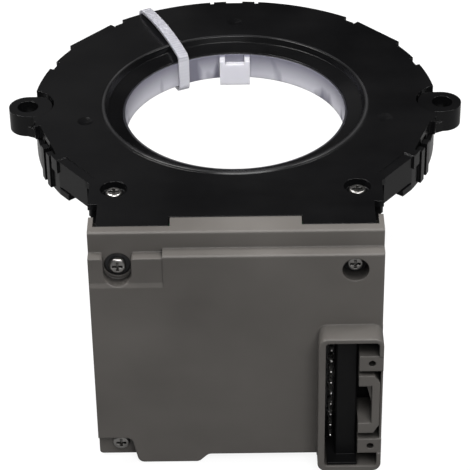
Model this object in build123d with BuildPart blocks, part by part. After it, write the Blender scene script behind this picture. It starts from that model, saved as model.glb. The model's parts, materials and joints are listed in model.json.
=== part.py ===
from build123d import *
import os
from math import acos, cos, degrees, pi, radians, sin, sqrt, tan

# Steering angle sensor, in millimetres. The steering column runs along Z.
# The origin is midway between the two ear holes, in the plane that the ears are screwed to.
# The electronics box hangs below the front of the ring, and its connector faces -Y.

# Heights of the ring housing
ring_top = 5.7
ring_bottom = -3.0
floor_t = 1.3
plate_t = 1.4
skirt_bottom = 2.5
wall_t = 1.6
parting_gap = 0.1
floor_top = ring_bottom + floor_t
plate_under = ring_top - plate_t
wall_top = skirt_bottom - parting_gap

# Plan of the ring
side_rim_r = 43.8
far_rim_out = 1.3
far_lobe_start = 55.0
rim_overhang = 0.5
skirt_t = 1.5
neck_out = 0.4
plate_in = 1.6
plate_step_y = -39.5
front_edge_y = -47.5
plate_front_gap = 0.15

# Bore of the cover: a raised bead, a steep step, a shallow cone and a thin lip
bead_r = 28.65
bead_w = 1.0
bead_h = 0.35
step_foot_r = 27.6
step_foot_z = 4.75
lip_r = 24.4
lip_top = 3.9
lip_t = 0.6
lip_root = 1.8

# Mounting ears
ear_out = 1.2
ear_r = 4.1
ear_t = 5.0
ear_hole_r = 2.25
ear_gap_r = 5.7
ear_inset = 0.4
ear_root_in = 1.9
ear_root_half = 5.6

# Snap clips: turn from +X, distance of the flat face, width, height and thickness
clip_t = 1.3
clip_gap = 0.25
clip_bottom = -0.8
front_clip_turn = -38.4
front_clip_in = 0.7
front_clip_w = 10.3
front_catch_shift = 3.1
rear_clip_turn = 42.8
rear_clip_out = 1.0
rear_clip_w = 13.0
clip_shoulder = 2.1
clip_sink = 0.25
catch_w = 3.0
catch_h = 1.5

# Marks along the rim
rim_notch_x = 5.2
rim_notch_w = 0.9
rim_notch_depth = 0.8
rim_flat_half = 1.9
rim_flat_depth = 0.7
rim_dip_turn = 22.2
rim_dip_w = 3.2
rim_dip_depth = 0.9
rim_nick_turn = -10.5
rim_nick_w = 1.2
rim_nick_depth = 0.4
rim_slot_turn = -20.3
rim_slot_w = 12.0
rim_slot_depth = 1.6
rib_turns = (-21.6, -25.8)
rib_w = 1.7
rib_out = 0.1
rib_in = 1.3
rib_top = 4.9

# Dimples on the plate
dimple_spots = ((0.0, 35.5), (32.1, -7.4), (-32.1, -7.4))
dimple_ball_r = 4.0
dimple_depth = 0.35

# Rotor: an inner wall, a toothed rim and a drive pocket
rotor_r = 23.9
rotor_wall_t = 1.3
rotor_neck_in = 0.15
guide_gap = 0.1
rotor_bottom = -2.2
lip_clear = 0.4
run_gap = 0.3
rim_teeth_t = 2.0
tooth_module = 0.6
rotor_teeth = 92
pressure_angle = 20.0
tooth_play = 0.24
addendum = 0.9
dedendum = 1.25
flank_foot = 0.1
pocket_half = 3.4
pocket_depth = 3.0
pocket_wall = 1.2
pocket_bottom = -2.5
pocket_lip = 2.8
pocket_rib_top = 3.6

# Measuring gears, their magnets and spindles
gear_teeth = {"a": 22, "b": 24}
gear_turn = {"a": -70.0, "b": -110.0}
hub_r = 3.6
hub_top = 1.0
spindle_r = 1.0
spindle_len = 1.2
spindle_fit = 0.05
magnet_r = 2.5
magnet_t = 1.0
magnet_fit = 0.02

# Circuit boards
board_t = 1.0
sensor_board_z = 2.2
sensor_board_half = 20.2
sensor_board_front = -43.4
sensor_board_back = -24.0
sensor_board_bore = 28.6
main_board_y = -45.2
main_board_t = 1.2
main_board_gap = 1.5
main_board_top = 3.4
main_board_bottom = -44.4
chip_t = 0.8
chip_side = 4.0
chip_len = 5.0
chip_leads = 4
post_r = 1.7
post_spots = ((17.5, -41.3), (-17.5, -41.3), (0.0, -37.4))
link_pins = 8
link_pitch = 2.0
link_pin = 0.5
link_pin_y = -42.3
link_pin_z = 1.1
link_hole_r = 0.45

# Components on the main board, placed by X and Z, or by Z and the distance in from the board's
# left edge or the connector's mouth
mcu_spot = (-4.0, -22.0)
mcu_side = 9.0
mcu_t = 1.4
mcu_pitch = 0.8
mcu_leads_a_side = 8
lead_w = 0.4
lead_len = 0.8
lead_t = 0.3
bus_from_mouth = 9.8
bus_z = -13.3
so_pitch = 1.27
regulator_in = 6.0
regulator_z = -39.0
regulator_side = 6.4
regulator_t = 2.3
regulator_pitch = 4.6
regulator_tab_w = 5.1
regulator_lead_w = 0.8
regulator_lead_len = 2.4
crystal_in = 9.1
crystal_z = -30.5
crystal_len = 11.2
crystal_w = 4.6
crystal_t = 3.4
crystal_edge_r = 0.5
tantalum_spots = ((-6.5, -36.0), (-6.5, -41.0))
tantalum_len = 6.0
tantalum_w = 3.2
tantalum_t = 2.6
smd_len = 2.0
smd_w = 1.25
capacitor_from_mouth = 9.8
capacitor_z = -32.5
capacitor_pitch = 3.6
capacitor_rows = 3
capacitor_t = 0.9
resistor_centre = (-7.5, -8.0)
resistor_pitch = 3.2
resistor_columns = 5
resistor_rows = 2
resistor_t = 0.55

# Electronics box
box_half = 29.6
box_wall = 1.5
box_face_y = -52.6
band_y = -49.7
step_z = 1.8
shell_back_y = -40.0
shell_wall = 1.4
joint_y = -44.0
joint_gap = 0.15
box_floor_z = -49.6
tab_floor_z = -51.6
tab_left_in = 8.4
tab_right_x = -6.4
tab_corner_r = 1.5
lip_tab_half = 13.2
lip_tab_back_y = -44.5
tab_clear = 0.25
patch_w = 14.9
patch_top_z = 1.0
patch_bottom_z = -5.8
patch_depth = 0.4
patch_slope = 1.0
notch_w = 7.0
notch_top_z = -45.0
notch_floor_z = -51.2
box_edge_r = 0.5
post_t = 1.0
gusset_x = (-19.0, 0.0, 19.0)
gusset_t = 1.4
gusset_run = 9.0

# Screws and the bosses that hold them
shank_r = 1.15
shank_fit = 0.05
head_r = 1.75
head_h = 1.2
cross_reach = 0.6
cross_width = 0.16
cross_depth = 0.55
head_round = 0.45
point_cut = 0.4
boss_r = 2.6
pass_r = 1.35
ring_screw_x = 24.9
ring_screw_y = -33.9
ring_screw_len = 5.5
counterbore_r = 2.8
counterbore_z = 4.0
cover_screw_len = 7.4
upper_screw_in = 5.8
upper_screw_z = -1.95
lower_screw_in = 4.7
lower_screw_z = -47.5
well_r = 2.85
well_drop = 0.75
well_flare = 0.6
well_bore_r = 2.7
well_depth = 0.8
well_wall = 1.3
board_shank_r = 0.75
board_head_r = 1.5
board_head_h = 0.8
board_screw_len = 3.6
board_pass_r = 0.95
board_boss_r = 1.9
board_boss_in = 3.6
left_boss_z = -14.0
right_boss_from_mouth = 4.2
right_boss_z = -9.5
low_boss_spot = (4.0, -41.5)
washer_r = 2.55
washer_t = 0.5

# Connector shroud, header, latch bridge and pins
shroud_w = 13.2
shroud_top = -15.6
shroud_bottom = -50.3
shroud_rim_y = -57.7
shroud_r = 2.0
shroud_wall = 1.4
shroud_side = 0.9
mouth_top = -16.6
mouth_bottom = -48.9
mouth_r = 0.7
shroud_back_y = -46.9
header_floor_y = -48.6
header_fit = 0.05
tongue_in = 2.3
tongue_w = 4.4
tongue_y = -54.4
pin_side = 0.64
pin_count = 9
pin_pitch = 2.79
pin_in = 1.35
pin_top_z = -21.0
pin_tip_y = -54.2
pin_tail = 0.8
pin_tip_len = 0.7
pin_tip_side = 0.3
pin_fit = 0.03
pin_hole_r = 0.52
latch_in = 6.85
latch_back_y = -50.4
pad_y = -57.4
pad_hole_r = 0.75
pad_hole_in = 1.4
upper_pad = (-20.1, -23.9)
lower_pad = (-41.8, -45.5)
bridge_top = -25.0
bridge_bottom = -39.9
bridge_bar = 2.6
bridge_in = 0.6
bridge_bar_w = 1.6
bridge_depth = 3.6
bridge_end_len = 2.1
bridge_end_w = 1.2
side_strip_t = 0.45
side_strip_drop = 0.8
ramp_reach = 2.4
ramp_top = -28.4
ramp_bottom = -33.4
sleeve_wall = 0.9
latch_wall = 1.2
tongue_end = 0.6
sill_t = 0.6
sill_y = -57.2

# Cable tie round the ring beside the drive pocket
tie_w = 2.35
tie_t = 0.7
tie_bore_r = 22.95
tie_bore_turn = 119.8
tie_turn = 114.7
tie_gap = 0.1
tie_crown = 0.7
tie_knee_z = 5.1
tie_bend_r = 1.2
tie_slack = 0.12
tie_bead_s = 5.4
tie_inner = 0.5
tie_head_r = 0.5
tie_head_w = 4.6
tie_head_len = 5.0
tie_head_h = 3.2
tie_head_from_rim = 8.0
tie_tail = 2.2

# Values worked out from the ones above
far_rim_r = side_rim_r + far_rim_out
neck_half = box_half + neck_out
plate_half = box_half - plate_in
ear_x = side_rim_r + ear_out
ear_root_x = side_rim_r - ear_root_in
front_clip_face = side_rim_r - front_clip_in
rear_clip_face = side_rim_r + rear_clip_out
clips = (
    (front_clip_turn, front_clip_face, front_clip_w, front_catch_shift),
    (rear_clip_turn, rear_clip_face, rear_clip_w, 0),
)
rotor_pitch_r = tooth_module * rotor_teeth / 2
rotor_top = lip_top - lip_t - lip_clear
rim_bottom = floor_top + run_gap
guide_r = rotor_r + rotor_wall_t + guide_gap
board_under = sensor_board_z
board_top = board_under + board_t
main_board_front = main_board_y - main_board_t
main_board_half = box_half - box_wall - main_board_gap
tab_left_x = tab_left_in - box_half
patch_right_x = patch_w - box_half
notch_right_x = notch_w - box_half
upper_screw_x = box_half - upper_screw_in
lower_screw_x = lower_screw_in - box_half
shroud_right = box_half
shroud_left = shroud_right - shroud_w
mouth_left = shroud_left + shroud_wall
mouth_right = shroud_right - shroud_side
board_boss_spots = (
    (board_boss_in - main_board_half, left_boss_z),
    (mouth_left - right_boss_from_mouth, right_boss_z),
    low_boss_spot,
)
bus_spot = (mouth_left - bus_from_mouth, bus_z)
regulator_spot = (regulator_in - main_board_half, regulator_z)
crystal_spot = (crystal_in - main_board_half, crystal_z)
capacitor_centre = (mouth_left - capacitor_from_mouth, capacitor_z)
tongue_left = mouth_left + tongue_in
tongue_right = tongue_left + tongue_w
pin_x = mouth_left + pin_in
latch_left = mouth_left + latch_in
pad_hole_x = mouth_right - pad_hole_in
bridge_right = shroud_right - bridge_in
bridge_bar_x = bridge_right - bridge_bar_w
side_strip_x = shroud_right - side_strip_t
ramp_left = mouth_right - ramp_reach
post_h = board_under - floor_top
front_well_y = band_y + well_depth
boss_front_y = band_y + well_depth + well_wall - parting_gap
well_z = upper_screw_z - well_drop
well_reach = well_r + parting_gap
from_front = (90, 0, 0)


def spot(radius, turn, side=1):
    """Place at a polar position, local X pointing outwards; side -1 is its mirror image."""
    angle = turn if side > 0 else 180 - turn
    return Location((radius * cos(radians(angle)), radius * sin(radians(angle)), 0), (0, 0, angle))


def gear_radii(teeth):
    """Pitch, base, root and tip radius of a gear."""
    pitch_r = tooth_module * teeth / 2
    base_r = pitch_r * cos(radians(pressure_angle))
    return pitch_r, base_r, pitch_r - dedendum * tooth_module, pitch_r + addendum * tooth_module


def involute(base_r, radius):
    """Angle in radians by which an involute flank has turned at a radius."""
    if radius <= base_r:
        return 0.0
    slant = acos(base_r / radius)
    return tan(slant) - slant


def gear_outline(teeth, first_turn):
    """Outline of a spur gear, with involute flanks and a tooth centred on first_turn."""
    pitch_r, base_r, root_r, tip_r = gear_radii(teeth)
    half_pitch = (pi * tooth_module / 2 - tooth_play / 2) / (2 * pitch_r)
    flank = []
    for radius in (root_r, max(base_r, root_r + flank_foot * tooth_module), pitch_r, tip_r):
        turned = involute(base_r, radius) - involute(base_r, pitch_r)
        flank.append((radius, half_pitch - turned))
    points = []
    for tooth in range(teeth):
        centre = radians(first_turn) + 2 * pi * tooth / teeth
        for radius, half in flank:
            points.append((radius * cos(centre - half), radius * sin(centre - half)))
        for radius, half in reversed(flank):
            points.append((radius * cos(centre + half), radius * sin(centre + half)))
    return points


def gear_place(name):
    """Centre of a measuring gear, at its meshing distance from the column."""
    distance = rotor_pitch_r + tooth_module * gear_teeth[name] / 2
    turn = radians(gear_turn[name])
    return distance * cos(turn), distance * sin(turn)


def meshed_turn(name):
    """Turn of a measuring gear whose tooth stands in a gap of the rotor, which has a tooth on +X."""
    pitches = gear_turn[name] / 360 * rotor_teeth
    offset = (round(pitches) - pitches) * pi * tooth_module
    backwards = (offset + pi * tooth_module / 2) / (tooth_module * gear_teeth[name] / 2)
    return gear_turn[name] + 180 - degrees(backwards)


def ring_outline(inset, front_y):
    """Plan of the ring with its neck, drawn smaller all round by the inset."""
    far_reach = 2 * far_rim_r
    far_half = far_reach * tan(radians(90 - far_lobe_start))
    with BuildSketch() as far_lobe:
        Circle(far_rim_r - inset)
        with BuildLine():
            Polyline((0, 0), (far_half, far_reach), (-far_half, far_reach), close=True)
        make_face(mode=Mode.INTERSECT)
    with BuildSketch() as plan:
        Circle(side_rim_r - inset)
        add(far_lobe.sketch)
        with Locations((0, front_y / 2)):
            Rectangle(2 * (neck_half - inset), -front_y)
        for side in (1, -1):
            for turn, face, width, _ in clips:
                flat = face - clip_shoulder - inset
                with Locations(spot(flat + clip_shoulder, turn, side)):
                    Rectangle(2 * clip_shoulder, width, mode=Mode.SUBTRACT)
        with Locations((0, front_y - side_rim_r)):
            Rectangle(2 * side_rim_r, 2 * side_rim_r, mode=Mode.SUBTRACT)
    return plan.sketch


def ear_outline():
    """Plan of an ear about its hole: a round end outside, and an inner end that follows its notch."""
    with BuildSketch() as ear:
        Circle(ear_gap_r - ear_inset)
        with Locations((-ear_gap_r / 2, 0)):
            Rectangle(ear_gap_r, 2 * ear_r, mode=Mode.INTERSECT)
        Circle(ear_r)
    return ear.sketch


def rim_slots():
    """Slots of the cover's rim between each ear and its front clip."""
    with BuildSketch() as slots:
        for side in (1, -1):
            with Locations(spot(side_rim_r, rim_slot_turn, side)):
                Rectangle(2 * rim_slot_depth, rim_slot_w)
    return slots.sketch


def ear_notches():
    """Round clearances of the cover about the two ears."""
    with BuildSketch() as notches:
        with Locations((ear_x, 0), (-ear_x, 0)):
            Circle(ear_gap_r)
    return notches.sketch


def pan_head_screw(radius, height, shank, length):
    """Cross-recess screw along -Z, its head seated on the XY plane."""
    with BuildPart() as screw:
        with BuildSketch() as head_plan:
            Circle(radius)
        extrude(amount=height)
        fillet(screw.edges().sort_by(Axis.Z)[-1], head_round * height)
        with BuildSketch() as shank_plan:
            Circle(shank)
        extrude(amount=-length)
        chamfer(screw.edges().sort_by(Axis.Z)[0], point_cut * shank)
        with BuildSketch(Plane.XY.offset(height)) as cross:
            Rectangle(2 * cross_reach * radius, 2 * cross_width * radius)
            Rectangle(2 * cross_width * radius, 2 * cross_reach * radius)
        extrude(amount=-cross_depth * height, mode=Mode.SUBTRACT)
    return screw.part


def save(part, name):
    """Label one sub-part and write its STEP file."""
    part.label = name
    export_step(part, f"parts/{name}.step")


os.makedirs("parts", exist_ok=True)

# Ring base: a tray with ears, a neck and the rear shell of the electronics box
with BuildPart() as ring_base:
    with BuildSketch(Plane.XY.offset(ring_bottom)) as tray_plan:
        add(ring_outline(rim_overhang, joint_y))
    extrude(amount=wall_top - ring_bottom)
    # Rear shell of the box, open towards the front
    with BuildSketch(Plane.XZ.offset(-shell_back_y)) as shell_plan:
        with Locations((0, (box_floor_z + floor_top) / 2)):
            Rectangle(2 * box_half, floor_top - box_floor_z)
        fillet(shell_plan.vertices().group_by(Axis.Y)[0], tab_corner_r)
    extrude(amount=shell_back_y - joint_y)
    # Room of the tray, room of the box and the round bore
    with BuildSketch(Plane.XY.offset(floor_top)) as tray_room:
        add(ring_outline(rim_overhang + wall_t, joint_y - wall_t))
    extrude(amount=wall_top - floor_top, mode=Mode.SUBTRACT)
    with BuildSketch(Plane.XZ.offset(-shell_back_y + shell_wall)) as shell_room:
        with Locations((0, (box_floor_z + shell_wall + floor_top) / 2)):
            Rectangle(2 * (box_half - shell_wall), floor_top - box_floor_z - shell_wall)
    extrude(amount=shell_back_y - joint_y, mode=Mode.SUBTRACT)
    with BuildSketch(Plane.XY.offset(ring_bottom)) as bore_plan:
        Circle(guide_r)
    extrude(amount=wall_top - ring_bottom, mode=Mode.SUBTRACT)
    # Ears, with a tapered root that grows out of the wall
    with BuildSketch(Plane.XY) as ear_plan:
        for side in (1, -1):
            with Locations(spot(ear_x, 0, side)):
                add(ear_outline())
    extrude(amount=ear_t)
    with BuildSketch(Plane.XY) as root_plan:
        for side in (1, -1):
            with BuildLine():
                Polyline(
                    (side * ear_root_x, ear_root_half),
                    (side * ear_x, ear_r),
                    (side * ear_x, -ear_r),
                    (side * ear_root_x, -ear_root_half),
                    close=True,
                )
            make_face()
    extrude(amount=wall_top)
    with BuildSketch(Plane.XY) as ear_holes:
        with Locations((ear_x, 0), (-ear_x, 0)):
            Circle(ear_hole_r)
    extrude(amount=ear_t, mode=Mode.SUBTRACT)
    # Catches that hold the clips, and ribs along the wall
    for side in (1, -1):
        for turn, face, _, shift in clips:
            reach = clip_shoulder + rim_overhang
            with BuildSketch(Plane.XY.offset(clip_bottom - clip_gap - catch_h)) as catch_plan:
                with Locations(spot(face - reach / 2, turn, side)):
                    with Locations((0, side * shift)):
                        Rectangle(reach + rim_overhang, catch_w)
            extrude(amount=catch_h)
        for turn in rib_turns:
            with BuildSketch(Plane.XY.offset(ring_bottom)) as rib_plan:
                with Locations(spot(side_rim_r + (rib_out - rib_in) / 2, turn, side)):
                    Rectangle(rib_in + rib_out, rib_w)
            extrude(amount=rib_top - ring_bottom)
    # Posts for the cover's screws and for the sensor board, and the gears' spindles
    with BuildSketch(Plane.XY.offset(floor_top)) as cover_posts:
        with Locations((ring_screw_x, ring_screw_y), (-ring_screw_x, ring_screw_y)):
            Circle(boss_r)
    extrude(amount=wall_top - floor_top)
    with BuildSketch(Plane.XY.offset(floor_top)) as board_posts:
        with Locations(*post_spots):
            Circle(post_r)
    extrude(amount=post_h)
    with BuildSketch(Plane.XY.offset(floor_top)) as spindles:
        with Locations(gear_place("a"), gear_place("b")):
            Circle(spindle_r)
    extrude(amount=spindle_len)
    with BuildSketch(Plane.XY.offset(wall_top)) as cover_pilots:
        with Locations((ring_screw_x, ring_screw_y), (-ring_screw_x, ring_screw_y)):
            Circle(shank_r + shank_fit)
    extrude(amount=floor_top - wall_top, mode=Mode.SUBTRACT)
    # Bosses in the box for the front cover's screws and for the main board
    with BuildSketch(Plane.XZ.offset(-shell_back_y)) as box_bosses:
        with Locations((upper_screw_x, upper_screw_z), (-upper_screw_x, upper_screw_z)):
            Circle(boss_r)
    extrude(amount=shell_back_y - boss_front_y - parting_gap)
    with BuildSketch(Plane.XZ.offset(-shell_back_y)) as lower_boss:
        with Locations((lower_screw_x, lower_screw_z)):
            Circle(lower_screw_z - box_floor_z)
    extrude(amount=shell_back_y - joint_y)
    with BuildSketch(Plane.XZ.offset(-shell_back_y)) as board_bosses:
        with Locations(*board_boss_spots):
            Circle(board_boss_r)
    extrude(amount=shell_back_y - main_board_y)
    with BuildSketch(Plane.XZ.offset(-shell_back_y + shell_wall)) as box_pilots:
        with Locations(
            (upper_screw_x, upper_screw_z), (-upper_screw_x, upper_screw_z), (lower_screw_x, lower_screw_z)
        ):
            Circle(shank_r + shank_fit)
        with Locations(*board_boss_spots):
            Circle(board_shank_r + shank_fit)
    extrude(amount=-shell_back_y - box_face_y, mode=Mode.SUBTRACT)
    with BuildSketch(Plane.XY.offset(board_under)) as board_pilots:
        with Locations(*post_spots):
            Circle(board_shank_r + shank_fit)
    extrude(amount=floor_top - board_under, mode=Mode.SUBTRACT)
    # Gussets between the ring's underside and the box
    for x in gusset_x:
        with BuildSketch(Plane.YZ.offset(x - gusset_t / 2)) as gusset_plan:
            with BuildLine():
                Polyline(
                    (shell_back_y, ring_bottom),
                    (shell_back_y + gusset_run, ring_bottom),
                    (shell_back_y, ring_bottom - gusset_run),
                    close=True,
                )
            make_face()
        extrude(amount=gusset_t)
save(ring_base.part, "ring_base")

# Ring cover: a plate with a stepped bore, a skirt round the rim and four snap clips
with BuildPart() as ring_cover:
    with BuildSketch(Plane.XY.offset(plate_under)) as plate_plan:
        add(ring_outline(0, front_edge_y + plate_front_gap))
        add(ear_notches(), mode=Mode.SUBTRACT)
        add(rim_slots(), mode=Mode.SUBTRACT)
        for side in (1, -1):
            with Locations((side * (plate_half + neck_half) / 2, plate_step_y + front_edge_y / 2)):
                Rectangle(neck_half - plate_half, -front_edge_y, mode=Mode.SUBTRACT)
            with Locations(spot(far_rim_r, degrees(acos(rim_notch_x / far_rim_r)), side)):
                Rectangle(2 * rim_notch_depth, rim_notch_w, mode=Mode.SUBTRACT)
            with Locations(spot(side_rim_r, rim_dip_turn, side)):
                Rectangle(2 * rim_dip_depth, rim_dip_w, mode=Mode.SUBTRACT)
            with Locations(spot(side_rim_r, rim_nick_turn, side)):
                Rectangle(2 * rim_nick_depth, rim_nick_w, mode=Mode.SUBTRACT)
        with Locations((0, far_rim_r)):
            Rectangle(2 * rim_flat_half, 2 * rim_flat_depth, mode=Mode.SUBTRACT)
        with Locations((0, front_edge_y)):
            Rectangle(
                2 * (lip_tab_half + tab_clear),
                2 * (lip_tab_back_y - front_edge_y + tab_clear),
                mode=Mode.SUBTRACT,
            )
    extrude(amount=plate_t)
    # Skirt round the rim, open at the neck
    with BuildSketch(Plane.XY.offset(skirt_bottom)) as skirt_plan:
        add(ring_outline(0, plate_step_y))
        add(ring_outline(skirt_t, plate_step_y), mode=Mode.SUBTRACT)
        add(ear_notches(), mode=Mode.SUBTRACT)
        add(rim_slots(), mode=Mode.SUBTRACT)
        with Locations((0, front_edge_y)):
            Rectangle(2 * side_rim_r, -front_edge_y, mode=Mode.SUBTRACT)
        with Locations((0, far_rim_r)):
            Rectangle(2 * rim_flat_half, 2 * rim_flat_depth, mode=Mode.SUBTRACT)
    extrude(amount=plate_under - skirt_bottom)
    # Snap clips with a shoulder at the top
    for side in (1, -1):
        for turn, face, width, _ in clips:
            with BuildSketch(Plane.XY.offset(plate_under)) as shoulder_plan:
                with Locations(spot(face - clip_shoulder / 2, turn, side)):
                    Rectangle(clip_shoulder, width)
            extrude(amount=plate_t - clip_sink)
            with BuildSketch(Plane.XY.offset(clip_bottom)) as clip_plan:
                with Locations(spot(face - clip_t / 2, turn, side)):
                    Rectangle(clip_t, width)
            extrude(amount=plate_under - clip_bottom)
    # Stepped bore
    with BuildSketch(Plane.XY.offset(plate_under)) as bore_cut:
        Circle(bead_r + bead_w / 2)
    extrude(amount=plate_t, mode=Mode.SUBTRACT)
    with BuildSketch(Plane.XZ) as bore_section:
        with BuildLine() as bore_line:
            Polyline(
                (bead_r + bead_w / 2, plate_under),
                (bead_r + bead_w / 2, ring_top),
                (bead_r + bead_w / 2 - bead_h, ring_top + bead_h),
                (bead_r - bead_w / 2, ring_top + bead_h),
                (step_foot_r, step_foot_z),
                (lip_r, lip_top),
                (lip_r, lip_top - lip_t),
                (lip_r + lip_root, lip_top - lip_t),
                (step_foot_r + plate_t / 2, plate_under - plate_t / 2),
                close=True,
            )
        make_face()
        fillet(bore_section.vertices().sort_by(Axis.Y)[-2:], bead_h / 2)
    revolve(axis=Axis.Z)
    # Sunk seats for the two screws, and the dimples
    with BuildSketch(Plane.XY.offset(wall_top + parting_gap)) as seat_bosses:
        with Locations((ring_screw_x, ring_screw_y), (-ring_screw_x, ring_screw_y)):
            Circle(counterbore_r + plate_t)
    extrude(amount=plate_under - wall_top - parting_gap)
    for side in (1, -1):
        with Locations((side * ring_screw_x, ring_screw_y, ring_top)):
            CounterBoreHole(pass_r, counterbore_r, ring_top - counterbore_z)
    for x, y in dimple_spots:
        with Locations((x, y, ring_top + dimple_ball_r - dimple_depth)):
            Sphere(dimple_ball_r, mode=Mode.SUBTRACT)
save(ring_cover.part, "ring_cover")

# Rotor: inner wall, toothed rim and drive pocket in one moulding
with BuildPart() as rotor:
    with BuildSketch(Plane.XY.offset(rotor_bottom)) as wall_plan:
        Circle(rotor_r + rotor_wall_t)
    extrude(amount=rotor_top - rotor_bottom)
    with BuildSketch(Plane.XY.offset(rotor_top)) as neck_plan:
        Circle(lip_r - guide_gap)
    extrude(amount=lip_top - rotor_neck_in - rotor_top)
    with BuildSketch(Plane.XY.offset(rim_bottom)) as teeth_plan:
        with BuildLine():
            Polyline(*gear_outline(rotor_teeth, 0), close=True)
        make_face()
    extrude(amount=rim_teeth_t)
    with BuildSketch(Plane.XY.offset(rotor_bottom)) as rotor_bore:
        Circle(rotor_r)
    extrude(amount=lip_top - rotor_bottom, mode=Mode.SUBTRACT)
    pocket_front = rotor_r - pocket_depth
    pocket_root = rotor_r + rotor_wall_t / 2
    with BuildSketch(Plane.XY.offset(pocket_bottom)) as pocket_plan:
        with Locations((0, (pocket_front + pocket_root) / 2)):
            Rectangle(2 * pocket_half, pocket_root - pocket_front)
    extrude(amount=pocket_lip - pocket_bottom)
    with BuildSketch(Plane.XY.offset(pocket_lip)) as pocket_ribs:
        for side in (1, -1):
            rib_x = side * (pocket_half - pocket_wall / 2)
            with Locations((rib_x, (pocket_front + rotor_r - guide_gap) / 2)):
                Rectangle(pocket_wall, pocket_depth - guide_gap)
    extrude(amount=pocket_rib_top - pocket_lip)
    with BuildSketch(Plane.XY.offset(pocket_bottom + pocket_wall)) as pocket_room:
        with Locations((0, (pocket_front + pocket_wall + rotor_r) / 2)):
            Rectangle(2 * (pocket_half - pocket_wall), pocket_depth - pocket_wall)
    extrude(amount=pocket_rib_top - pocket_bottom, mode=Mode.SUBTRACT)
save(rotor.part, "rotor")

# Measuring gears: each turns on a spindle of the base and carries a magnet
for name, teeth in gear_teeth.items():
    gear_x, gear_y = gear_place(name)
    with BuildPart() as measuring_gear:
        with BuildSketch(Plane((gear_x, gear_y, rim_bottom))) as gear_plan:
            with BuildLine():
                Polyline(*gear_outline(teeth, meshed_turn(name)), close=True)
            make_face()
        extrude(amount=rim_teeth_t)
        with BuildSketch(Plane((gear_x, gear_y, rim_bottom))) as hub_plan:
            Circle(hub_r)
        extrude(amount=hub_top - rim_bottom)
        with BuildSketch(Plane((gear_x, gear_y, hub_top))) as magnet_pocket:
            Circle(magnet_r + magnet_fit)
        extrude(amount=-magnet_t, mode=Mode.SUBTRACT)
        with BuildSketch(Plane((gear_x, gear_y, rim_bottom))) as spindle_bore:
            Circle(spindle_r + spindle_fit)
        extrude(amount=spindle_len - run_gap + spindle_fit, mode=Mode.SUBTRACT)
    save(measuring_gear.part, f"measuring_gear_{name}")
    with BuildPart() as magnet:
        with BuildSketch(Plane((gear_x, gear_y, hub_top - magnet_t))) as magnet_plan:
            Circle(magnet_r)
        extrude(amount=magnet_t)
    save(magnet.part, f"magnet_{name}")
    # Angle sensor chip over the magnet, on the underside of its board
    with BuildPart() as sensor_chip:
        with BuildSketch(Plane((gear_x, gear_y, board_under))) as chip_plan:
            Rectangle(chip_len, chip_side)
        extrude(amount=-chip_t)
        chamfer(sensor_chip.faces().sort_by(Axis.Z)[0].edges(), lead_t / 2)
        with BuildSketch(Plane((gear_x, gear_y, board_under))) as lead_plan:
            with GridLocations(so_pitch, chip_side + lead_len, chip_leads, 2):
                Rectangle(lead_w, lead_len + lead_t)
        extrude(amount=-lead_t)
    save(sensor_chip.part, f"sensor_chip_{name}")

# Sensor board: lies over the gears on three posts
with BuildPart() as sensor_board:
    with BuildSketch(Plane.XY.offset(board_under)) as board_plan:
        with Locations((0, (sensor_board_front + sensor_board_back) / 2)):
            Rectangle(2 * sensor_board_half, sensor_board_back - sensor_board_front)
        Circle(sensor_board_bore, mode=Mode.SUBTRACT)
        with Locations(*post_spots):
            Circle(board_pass_r, mode=Mode.SUBTRACT)
        with Locations((0, link_pin_y)):
            with GridLocations(link_pitch, 1, link_pins, 1):
                Circle(link_hole_r, mode=Mode.SUBTRACT)
    extrude(amount=board_t)
save(sensor_board.part, "sensor_board")

# Board link: bent pins from the sensor board to the main board
with BuildPart() as board_link:
    link_up = board_top + link_pin
    link_end = main_board_front - link_pin
    with BuildSketch(Plane.XY.offset(link_pin_z)) as link_feet:
        with Locations((0, link_pin_y)):
            with GridLocations(link_pitch, 1, link_pins, 1):
                Rectangle(link_pin, link_pin)
    extrude(amount=link_up - link_pin_z)
    with BuildSketch(Plane.XZ.offset(-link_pin_y - link_pin / 2)) as link_arms:
        with Locations((0, link_pin_z + link_pin / 2)):
            with GridLocations(link_pitch, 1, link_pins, 1):
                Rectangle(link_pin, link_pin)
    extrude(amount=link_pin_y + link_pin / 2 - link_end)
save(board_link.part, "board_link")

# Main board: stands behind the front cover
pin_bottom_z = pin_top_z - pin_pitch * (pin_count - 1)
with BuildPart() as main_board:
    with BuildSketch(Plane.XZ.offset(-main_board_y)) as main_plan:
        with Locations((0, (main_board_top + main_board_bottom) / 2)):
            Rectangle(2 * main_board_half, main_board_top - main_board_bottom)
        with Locations((upper_screw_x, upper_screw_z), (-upper_screw_x, upper_screw_z)):
            Circle(boss_r + run_gap, mode=Mode.SUBTRACT)
        with Locations(*board_boss_spots):
            Circle(board_pass_r, mode=Mode.SUBTRACT)
        with Locations((pin_x, (pin_top_z + pin_bottom_z) / 2)):
            with GridLocations(1, pin_pitch, 1, pin_count):
                Circle(pin_hole_r, mode=Mode.SUBTRACT)
        with Locations((0, link_pin_z + link_pin / 2)):
            with GridLocations(link_pitch, 1, link_pins, 1):
                Circle(link_hole_r, mode=Mode.SUBTRACT)
    extrude(amount=main_board_t)
save(main_board.part, "main_board")

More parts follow.
